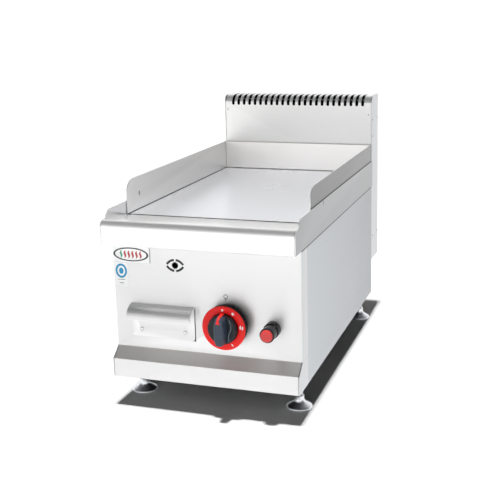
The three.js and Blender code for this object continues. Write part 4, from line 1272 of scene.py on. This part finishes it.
FILM = 0.05 * MM
PRINT_BACK = PANEL_LOW.y - 0.02 * MM
PRINT_FACE = PRINT_BACK - 0.08 * MM
BADGE_RIM_EDGE = 0.2 * MM
BADGE_RIM_INNER = (3.4 * MM, 2.2 * MM)
WAVE_COUNT = 6
WAVE_STEPS = 40
WAVE_PITCH = 7 * MM
WAVE_LENGTH = 13 * MM
WAVE_SWAY = 1.2 * MM
WAVE_WIDTH = 3.8 * MM
WAVE_TIP = 0.25
WAVE_LEAN = 0.15
BACKING_THICKNESS = 0.2 * MM
BACKING_MARGINS = (0.4 * MM, 3.4 * MM, 1.6 * MM, 2.2 * MM)
BACKING_SHADE = (2.6 * MM, 0.2 * MM)
SHADE_LAYER = (0.25 * MM, 0.15 * MM)
LABEL_X = 13.8 * MM
LABEL_DROP = 3.5 * MM
LABEL_WIDTH = 23 * MM
LABEL_HEIGHT = 41 * MM
LABEL_CORNER = 1.5 * MM
LABEL_THICKNESS = 0.1 * MM
LABEL_RING_DROP = 14 * MM
LABEL_RING = ((10.4 * MM, 12.4 * MM), (7 * MM, 8.8 * MM))
LABEL_CORE = (4 * MM, 5.4 * MM)
LABEL_RULES = ((29 * MM, 13 * MM), (35 * MM, 8 * MM))
RULE_HALF = 0.5 * MM
EYE_WIDTH = 3.8 * MM
EYE_HALF_HEIGHT = 8.8 * MM
EYE_RADIUS = 17.2 * MM
EYE_LIFT = 0.4 * MM
EYE_ANGLES = (5.5, 57)
PORT_RING_WIDTH = 0.9 * MM
INDEX_SPOT = (-3.7, 45.7)
INDEX_RING = (3.8 * MM, 2.5 * MM)
INDEX_ARROW = ((-1.8, -4), (1.8, -4), (0, -7.6))


def pierced(outer, inner, low, high):
    """A film between two outlines."""
    return combined(prism(outer, "y", low, high), prism(inner, "y", low - MM, high + MM))


def wavy_strip():
    """An outline along a wave that is thick in its middle."""
    upper, lower = [], []
    for i in range(WAVE_STEPS + 1):
        t = i / WAVE_STEPS
        u = (t - 0.5) * WAVE_LENGTH
        v = WAVE_SWAY * math.sin(2 * math.pi * t)
        half = WAVE_WIDTH / 2 * (WAVE_TIP + (1 - WAVE_TIP) * math.sin(math.pi * t))
        upper.append((u, v + half))
        lower.append((u, v - half))
    return upper + lower[::-1]


def add_badge():
    low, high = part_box("badge_plate")
    spot = front_middle("badge_plate")
    wide, tall = (high.x - low.x) / 2, (high.z - low.z) / 2
    face = low.y + 2 * FILM
    layer = (face - FILM, face + FILM)
    piece("badge", prism(oval(spot, (wide, tall)), "y", face, high.y), "root", enamel,
          ["badge_plate"], edge=BADGE_RIM_EDGE)
    outer = oval(spot, (wide - BADGE_RIM_EDGE, tall - BADGE_RIM_EDGE))
    inner = oval(spot, (wide - BADGE_RIM_INNER[0], tall - BADGE_RIM_INNER[1]))
    mark("badge_rim", ink_black, pierced(outer, inner, *layer))
    waves = []
    for i in range(WAVE_COUNT):
        centre_u = spot[0] + (i - (WAVE_COUNT - 1) / 2) * WAVE_PITCH
        outline = [(centre_u + v + WAVE_LEAN * u, spot[1] + u) for u, v in wavy_strip()]
        waves.append(prism(outline, "y", *layer))
    mark("badge_waves", ink_red, *waves[1:])
    mark("badge_wave_first", ink_green, waves[0])
    left, right, under, over = BACKING_MARGINS
    edge_x, foot, head = high.x + right, low.z - under, high.z + over
    backing = rectangle(low.x + left, edge_x, foot, head)
    mark("badge_backing", label_film, prism(backing, "y", PRINT_BACK - BACKING_THICKNESS, PRINT_BACK))
    # A grey strip along the backing's right edge: painted shade.
    shade = rectangle(edge_x - BACKING_SHADE[0], edge_x - BACKING_SHADE[1],
                      foot + BACKING_SHADE[1], head - BACKING_SHADE[1])
    mark("badge_backing_shade", painted_shade_grey,
         prism(shade, "y", PRINT_BACK - SHADE_LAYER[0], PRINT_BACK - SHADE_LAYER[1]))


def add_label():
    """A plain adhesive label: a blue ring over grey rules."""
    badge_low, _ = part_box("badge_plate")
    centre_x = PANEL_LOW.x + LABEL_X
    top = badge_low.z - LABEL_DROP
    face = PRINT_BACK - LABEL_THICKNESS
    layer = (face - FILM, face + FILM)
    outline = rounded(strip(centre_x, LABEL_WIDTH, top - LABEL_HEIGHT, top), (LABEL_CORNER,) * 4)
    mark("label_sheet", label_film, prism(outline, "y", face, PRINT_BACK))
    spot = (centre_x, top - LABEL_RING_DROP)
    outer, inner = [oval(spot, radii) for radii in LABEL_RING]
    core = prism(oval(spot, LABEL_CORE, 40), "y", *layer)
    mark("label_ring", ink_blue, pierced(outer, inner, *layer), core)
    rules = []
    for drop, width in LABEL_RULES:
        outline = strip(centre_x, width, top - drop - RULE_HALF, top - drop + RULE_HALF)
        rules.append(prism(outline, "y", *layer))
    mark("label_rules", ink_grey, *rules)


def stroke(radius, start, end, width):
    """A printed arc about the origin, with square ends."""
    outer = arc((0, 0), (radius + width / 2,) * 2, start, end, 12)
    inner = arc((0, 0), (radius - width / 2,) * 2, end, start, 12)
    return outer + inner


def add_port_sign():
    """Four printed strokes in the shape of an eye round the viewing port, and a ring at its rim."""
    near, far = EYE_ANGLES
    drop = EYE_RADIUS - EYE_HALF_HEIGHT - EYE_LIFT
    strokes = []
    for vertical in (-1, 1):
        for sideways in (-1, 1):
            outline = stroke(EYE_RADIUS, 90 - sideways * near, 90 - sideways * far, EYE_WIDTH)
            outline = [(u + PORT_CENTRE[0], vertical * (v - drop) + PORT_CENTRE[1]) for u, v in outline]
            strokes.append(prism(outline, "y", PRINT_FACE, PRINT_BACK))
    mark("port_sign", ink_black, *strokes)
    outer = circle(PORT_CENTRE, PORT_RADIUS + PORT_RING_WIDTH, 40)
    inner = circle(PORT_CENTRE, PORT_RADIUS, 40)
    mark("port_ring", ink_black, pierced(outer, inner, PRINT_FACE, PRINT_BACK))


def add_index_mark():
    """A small printed ring with an arrow foot above the knob."""
    spot = offset([INDEX_SPOT], *front_middle("knob_skirt"))[0]
    outer, inner = [circle(spot, radius) for radius in INDEX_RING]
    mark("index_ring", ink_grey, pierced(outer, inner, PRINT_FACE, PRINT_BACK))
    mark("index_arrow", ink_grey, prism(offset(INDEX_ARROW, *spot), "y", PRINT_FACE, PRINT_BACK))


# ---- feet, screws and gas inlet ----

FOOT_PROFILE = (
    (0, 0), (19.5, 0), (20.6, 0.2), (21.5, 0.7), (22, 1.5), (22, 3.0), (21.4, 4.0), (19.8, 5.2),
    (16.2, 7.2), (12.6, 9.4), (10.2, 11.6), (8.8, 13.8), (8.2, 16.4), (8.2, 21.8), (7.6, 22.6), (6.4, 23),
)
STEM_START = 24 * MM
STEM_THREAD = (5.9 * MM, 5.3 * MM)
STEM_STEPS = 34
STEM_TIP = 4.8 * MM
LOCK_NUT_BORE = 6.3 * MM
LOCK_NUT_CHAMFER = (0.12, 0.072)
SCREW_RADIUS = 2.6 * MM
SMALL_SCREW_RADIUS = 2 * MM
SCREW_HEAD = 1.3 * MM
SCREW_DOME = (20, 40, 60, 75, 88)
SCREW_ROUNDING = 0.6
SCREW_SINK = 0.2 * MM
RECESS_WIDTH = 0.6 * MM
RECESS_LENGTH = 3 * MM
RECESS_LEVELS = (0.5 * MM, 2 * MM)
HOOD_SCREW_DROPS = (31 * MM, 39 * MM)
HOOD_SCREW_INSET = 5 * MM
# Depth and drop of the screws of each flue side, in millimetres
FLUE_SCREWS = ((9, -50), (9, -85), (9, -300), (58, -50), (58, -300))
FLUE_BACK_INSET = 9 * MM
FLUE_BACK_SCREWS = ((-1, 0.06), (1, 0.06), (-1, 0.5), (1, 0.5), (-1, 0.94), (1, 0.94))
REAR_INSET = 8 * MM
REAR_SCREWS = ((-1, 12 * MM), (1, 12 * MM), (-1, 56 * MM), (1, 56 * MM))
INLET_NUT_DEPTH = 10 * MM
INLET_NUT_REACH = 16 * MM
INLET_NUT_CHAMFER = (0.1, 0.0625)
INLET_NUT_BORE = 10.5 * MM
INLET_NUT_EDGE = 0.2 * MM
INLET_THREAD = (10.4 * MM, 9.5 * MM)
INLET_STEPS = 40
INLET_TIP = 9.2 * MM
INLET_HOLE = 6 * MM
INLET_HOLE_DEPTH = 24 * MM


def hex_nut(spot, reach, low, high, axis, chamfer, bore_radius):
    """A hexagon nut; chamfer is how far its corners are turned off, inwards and along, by its reach."""
    inwards, along = (share * reach for share in chamfer)
    hexagon = [polar(spot, reach, degrees) for degrees in range(0, 360, 60)]
    body = lathe([
        (0, low), (reach - inwards, low), (reach, low + along),
        (reach, high - along), (reach - inwards, high), (0, high),
    ], axis, spot)
    nut = combined(prism(hexagon, axis, low, high), body, operation="INTERSECT")
    return combined(nut, bore(spot, bore_radius, low - MM, high + MM, axis))


def add_feet():
    for end in ("front", "rear"):
        for label, _ in SIDES:
            name = f"foot_{end}_{label}"
            low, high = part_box(name)
            centre = middle(name)
            stem = thread(*STEM_THREAD, low.z + STEM_START, high.z - MM, STEM_STEPS)
            profile = [*offset(FOOT_PROFILE, 0, low.z), *stem, (STEM_TIP, high.z), (0, high.z)]
            foot = lathe(profile, "z", (centre.x, centre.y))
            piece(f"levelling_foot_{end}_{label}", foot, name, foot_chrome, [name], edge=0)
            name = f"foot_nut_{end}_{label}"
            low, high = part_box(name)
            centre = middle(name)
            reach = max(high.x - low.x, high.y - low.y) / 2
            nut = hex_nut((centre.x, centre.y), reach, low.z, high.z, "z", LOCK_NUT_CHAMFER, LOCK_NUT_BORE)
            piece(f"lock_nut_{end}_{label}", nut, "root", foot_chrome, [name], edge=THIN_EDGE)


def screw(name, spot, axis, base, direction, radius=SMALL_SCREW_RADIUS):
    """A pan head screw with a cross recess; base is the surface that it sits on."""
    foot = base - direction * SCREW_SINK
    head = dome(radius, direction * SCREW_HEAD, base, SCREW_DOME, SCREW_ROUNDING)
    body = lathe([*head, (radius, foot), (0, foot)], axis, spot, 32)
    low, high = sorted(base + direction * level for level in RECESS_LEVELS)
    bars = []
    for width, length in ((RECESS_LENGTH, RECESS_WIDTH), (RECESS_WIDTH, RECESS_LENGTH)):
        outline = strip(spot[0], width, spot[1] - length / 2, spot[1] + length / 2)
        bars.append(prism(outline, axis, low, high))
    piece(name, combined(body, *bars), "root", screw_steel, edge=0)


def add_screws():
    low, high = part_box("flue_hood")
    for (label, side), drop in zip(SIDES, HOOD_SCREW_DROPS):
        spot = (side * (high.x - HOOD_SCREW_INSET), high.z - drop)
        screw(f"hood_screw_{label}", spot, "y", low.y, -1)
    for label, side in SIDES:
        low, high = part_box(f"flue_side_{label}")
        outer = high.x if side > 0 else low.x
        for i, spot in enumerate(offset(FLUE_SCREWS, low.y, high.z)):
            screw(f"flue_screw_{label}_{i}", spot, "x", outer, side)
    low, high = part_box("flue_rear_panel")
    for i, (side, share) in enumerate(FLUE_BACK_SCREWS):
        spot = (side * (high.x - FLUE_BACK_INSET), low.z + share * (high.z - low.z))
        screw(f"flue_back_screw_{i}", spot, "y", high.y, 1, SCREW_RADIUS)
    low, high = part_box("rear_panel")
    for i, (side, rise) in enumerate(REAR_SCREWS):
        screw(f"rear_screw_{i}", (side * (high.x - REAR_INSET), low.z + rise), "y", high.y, 1, SCREW_RADIUS)


def add_gas_inlet():
    low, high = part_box("gas_inlet")
    _, rear_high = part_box("rear_panel")
    hub = front_middle("gas_inlet")
    nut_low, nut_high = rear_high.y + GAP, rear_high.y + INLET_NUT_DEPTH
    crest = INLET_THREAD[0]
    profile = [(0, low.y), (crest, low.y), (crest, nut_high)]
    profile += thread(*INLET_THREAD, nut_high, high.y - MM, INLET_STEPS)
    profile += [(INLET_TIP, high.y), (0, high.y)]
    hole = bore(hub, INLET_HOLE, high.y - INLET_HOLE_DEPTH, high.y + MM)
    stem = combined(lathe(profile, "y", hub, 48), hole)
    piece("gas_inlet_stem", stem, "root", brass, ["gas_inlet"], edge=0)
    nut = hex_nut(hub, INLET_NUT_REACH, nut_low, nut_high, "y", INLET_NUT_CHAMFER, INLET_NUT_BORE)
    piece("gas_inlet_nut", nut, "root", brass, ["gas_inlet"], edge=INLET_NUT_EDGE)


# ---- CAD nodes that stay ----

KEPT_NODES = (
    (zinc, "plate_stiffener_front", "plate_stiffener_rear", "flue_floor", "drawer_pan",
     "drawer_runner_left", "drawer_runner_right", "igniter_nut", "chamber_wall_left",
     "chamber_wall_right", "chamber_wall_front", "heat_shield_floor", "manifold_pipe", "pilot_bracket"),
    (brass, "knob_spindle", "valve_plug", "valve_body", "injector", "burner_supply_pipe", "pilot_tube",
     "pilot_burner"),
    (cast_iron, "burner"),
    # The base panel takes the near-black steel as painted shade, so the floor under the body stays dark.
    (soot_and_shade, "grease_chute", "base_panel"),
    (screw_steel, "thermocouple"),
    (ceramic, "spark_electrode"),
    (silicone, "ignition_lead"),
)
KEPT_EDGE = 0.2 * MM
KEPT_WELD = 0.01 * MM
FLAT_ANGLE = math.radians(1)


def dress_kept_nodes():
    """Gives the CAD nodes that stay a finish and soft edges."""
    for material, *names in KEPT_NODES:
        for name in names:
            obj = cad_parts[name]
            obj.data.materials.clear()
            obj.data.materials.append(material)
            weld = obj.modifiers.new("weld", "WELD")
            weld.merge_threshold = KEPT_WELD
            flat = obj.modifiers.new("flat faces", "DECIMATE")
            flat.decimate_type = "DISSOLVE"
            flat.angle_limit = FLAT_ANGLE
            soften(obj, KEPT_EDGE)


# ---- studio ----

FLOOR_HALF = 60
FLOOR_LEVELS = (-20 * MM, -0.2 * MM)
# Angle from the front horizon over the top, and brightness there
SKY_STOPS = (
    (0, 1.15), (14, 1.1), (30, 0.7), (50, 0.2), (80, 0.12),
    (108, 0.15), (130, 0.55), (150, 1.0), (180, 1.2),
)
SUN_ANGLE = math.radians(3)
CAMERA_AZIMUTH = math.radians(17.41)
CAMERA_ELEVATION = math.radians(11.8)
CAMERA_ROLL = math.radians(-1.05)
CAMERA_DISTANCE = 1.693
CAMERA_TARGET = Vector((0.04196, 0, 0.30371))
CAMERA_LENS = 67.4
CAMERA_SENSOR = 36
CAMERA_SHIFT = -0.0833
CAMERA_CLIP = (0.05, 60)


def add_floor():
    outline = rectangle(-FLOOR_HALF, FLOOR_HALF, -FLOOR_HALF, FLOOR_HALF)
    floor = stand(prism(outline, "z", *FLOOR_LEVELS), "floor")
    floor.data.materials.append(floor_paint())


def add_sky():
    """A white backdrop; the steel mirrors a bright low surround with a dark ceiling."""
    world = bpy.data.worlds.new("studio")
    bpy.context.scene.world = world
    world.use_nodes = True
    tree = world.node_tree
    direction = node(tree, "ShaderNodeTexCoord").outputs["Generated"]
    parts = node(tree, "ShaderNodeSeparateXYZ", {"Vector": direction})
    front = total(tree, parts.outputs["Y"], -1.0, "MULTIPLY")
    angle = total(tree, parts.outputs["Z"], front, "ARCTAN2")
    ramp = node(tree, "ShaderNodeValToRGB", {"Fac": spread(tree, angle, 0.0, 1.0, 0.0, math.pi)})
    stops = ramp.color_ramp.elements
    while len(stops) < len(SKY_STOPS):
        stops.new(0.5)
    for stop, (degrees, level) in zip(stops, SKY_STOPS):
        stop.position = degrees / 180
        stop.color = (level, level, level, 1)
    camera_ray = node(tree, "ShaderNodeLightPath").outputs["Is Camera Ray"]
    shown = total(tree, ramp.outputs["Color"], camera_ray, "MAXIMUM")
    tree.links.new(shown, tree.nodes["Background"].inputs["Color"])
    world.cycles_visibility.diffuse = False


def lamp(name, kind, location, degrees, energy, mirrored=False, **settings):
    """A light; the steel shows it only where mirrored is set."""
    data = bpy.data.lights.new(name, kind)
    data.energy = energy
    for key, value in settings.items():
        setattr(data, key, value)
    made = bpy.data.objects.new(name, data)
    made.location = location
    made.rotation_euler = [math.radians(angle) for angle in degrees]
    made.visible_glossy = mirrored
    bpy.context.scene.collection.objects.link(made)


def add_lights():
    lamp("overhead", "SUN", (0, 0, 3), (4, 0, 0), 4.0, angle=SUN_ANGLE)
    lamp("front_fill", "AREA", (0.1, -2.2, 0.3), (90, 0, 3), 9, shape="RECTANGLE", size=1.2, size_y=0.4)
    lamp("front_softbox", "AREA", (-0.8, -2.4, 0.42), (90, 0, -18), 1.2, mirrored=True,
         shape="RECTANGLE", size=1.6, size_y=0.8)


def add_camera():
    level = Vector((math.cos(CAMERA_AZIMUTH), math.sin(CAMERA_AZIMUTH), 0))
    outwards = Vector((math.sin(CAMERA_AZIMUTH), -math.cos(CAMERA_AZIMUTH), 0))
    back = outwards * math.cos(CAMERA_ELEVATION) + AXIS_Z * math.sin(CAMERA_ELEVATION)
    upright = back.cross(level)
    right = level * math.cos(CAMERA_ROLL) + upright * math.sin(CAMERA_ROLL)
    up = upright * math.cos(CAMERA_ROLL) - level * math.sin(CAMERA_ROLL)
    data = bpy.data.cameras.new("camera")
    data.sensor_width = CAMERA_SENSOR
    data.lens = CAMERA_LENS
    data.shift_x = CAMERA_SHIFT
    data.shift_y = CAMERA_SHIFT
    data.clip_start, data.clip_end = CAMERA_CLIP
    camera = bpy.data.objects.new("camera", data)
    turn = Matrix((right, up, back)).transposed().to_4x4()
    camera.matrix_world = Matrix.Translation(CAMERA_TARGET + back * CAMERA_DISTANCE) @ turn
    bpy.context.scene.collection.objects.link(camera)
    bpy.context.scene.camera = camera


add_camera()
add_front_panel()
add_plinth()
add_side_panels()
add_rear_panel()
add_front_apron()
add_side_rails()
add_shade_strips()
add_cooking_plate()
add_splash_guards()
add_flue()
add_drawer()
add_rivets()
add_knob()
add_igniter()
add_badge()
add_label()
add_port_sign()
add_index_mark()
add_feet()
add_screws()
add_gas_inlet()
dress_kept_nodes()
add_floor()
add_sky()
add_lights()
bpy.context.scene.view_settings.view_transform = "Standard"
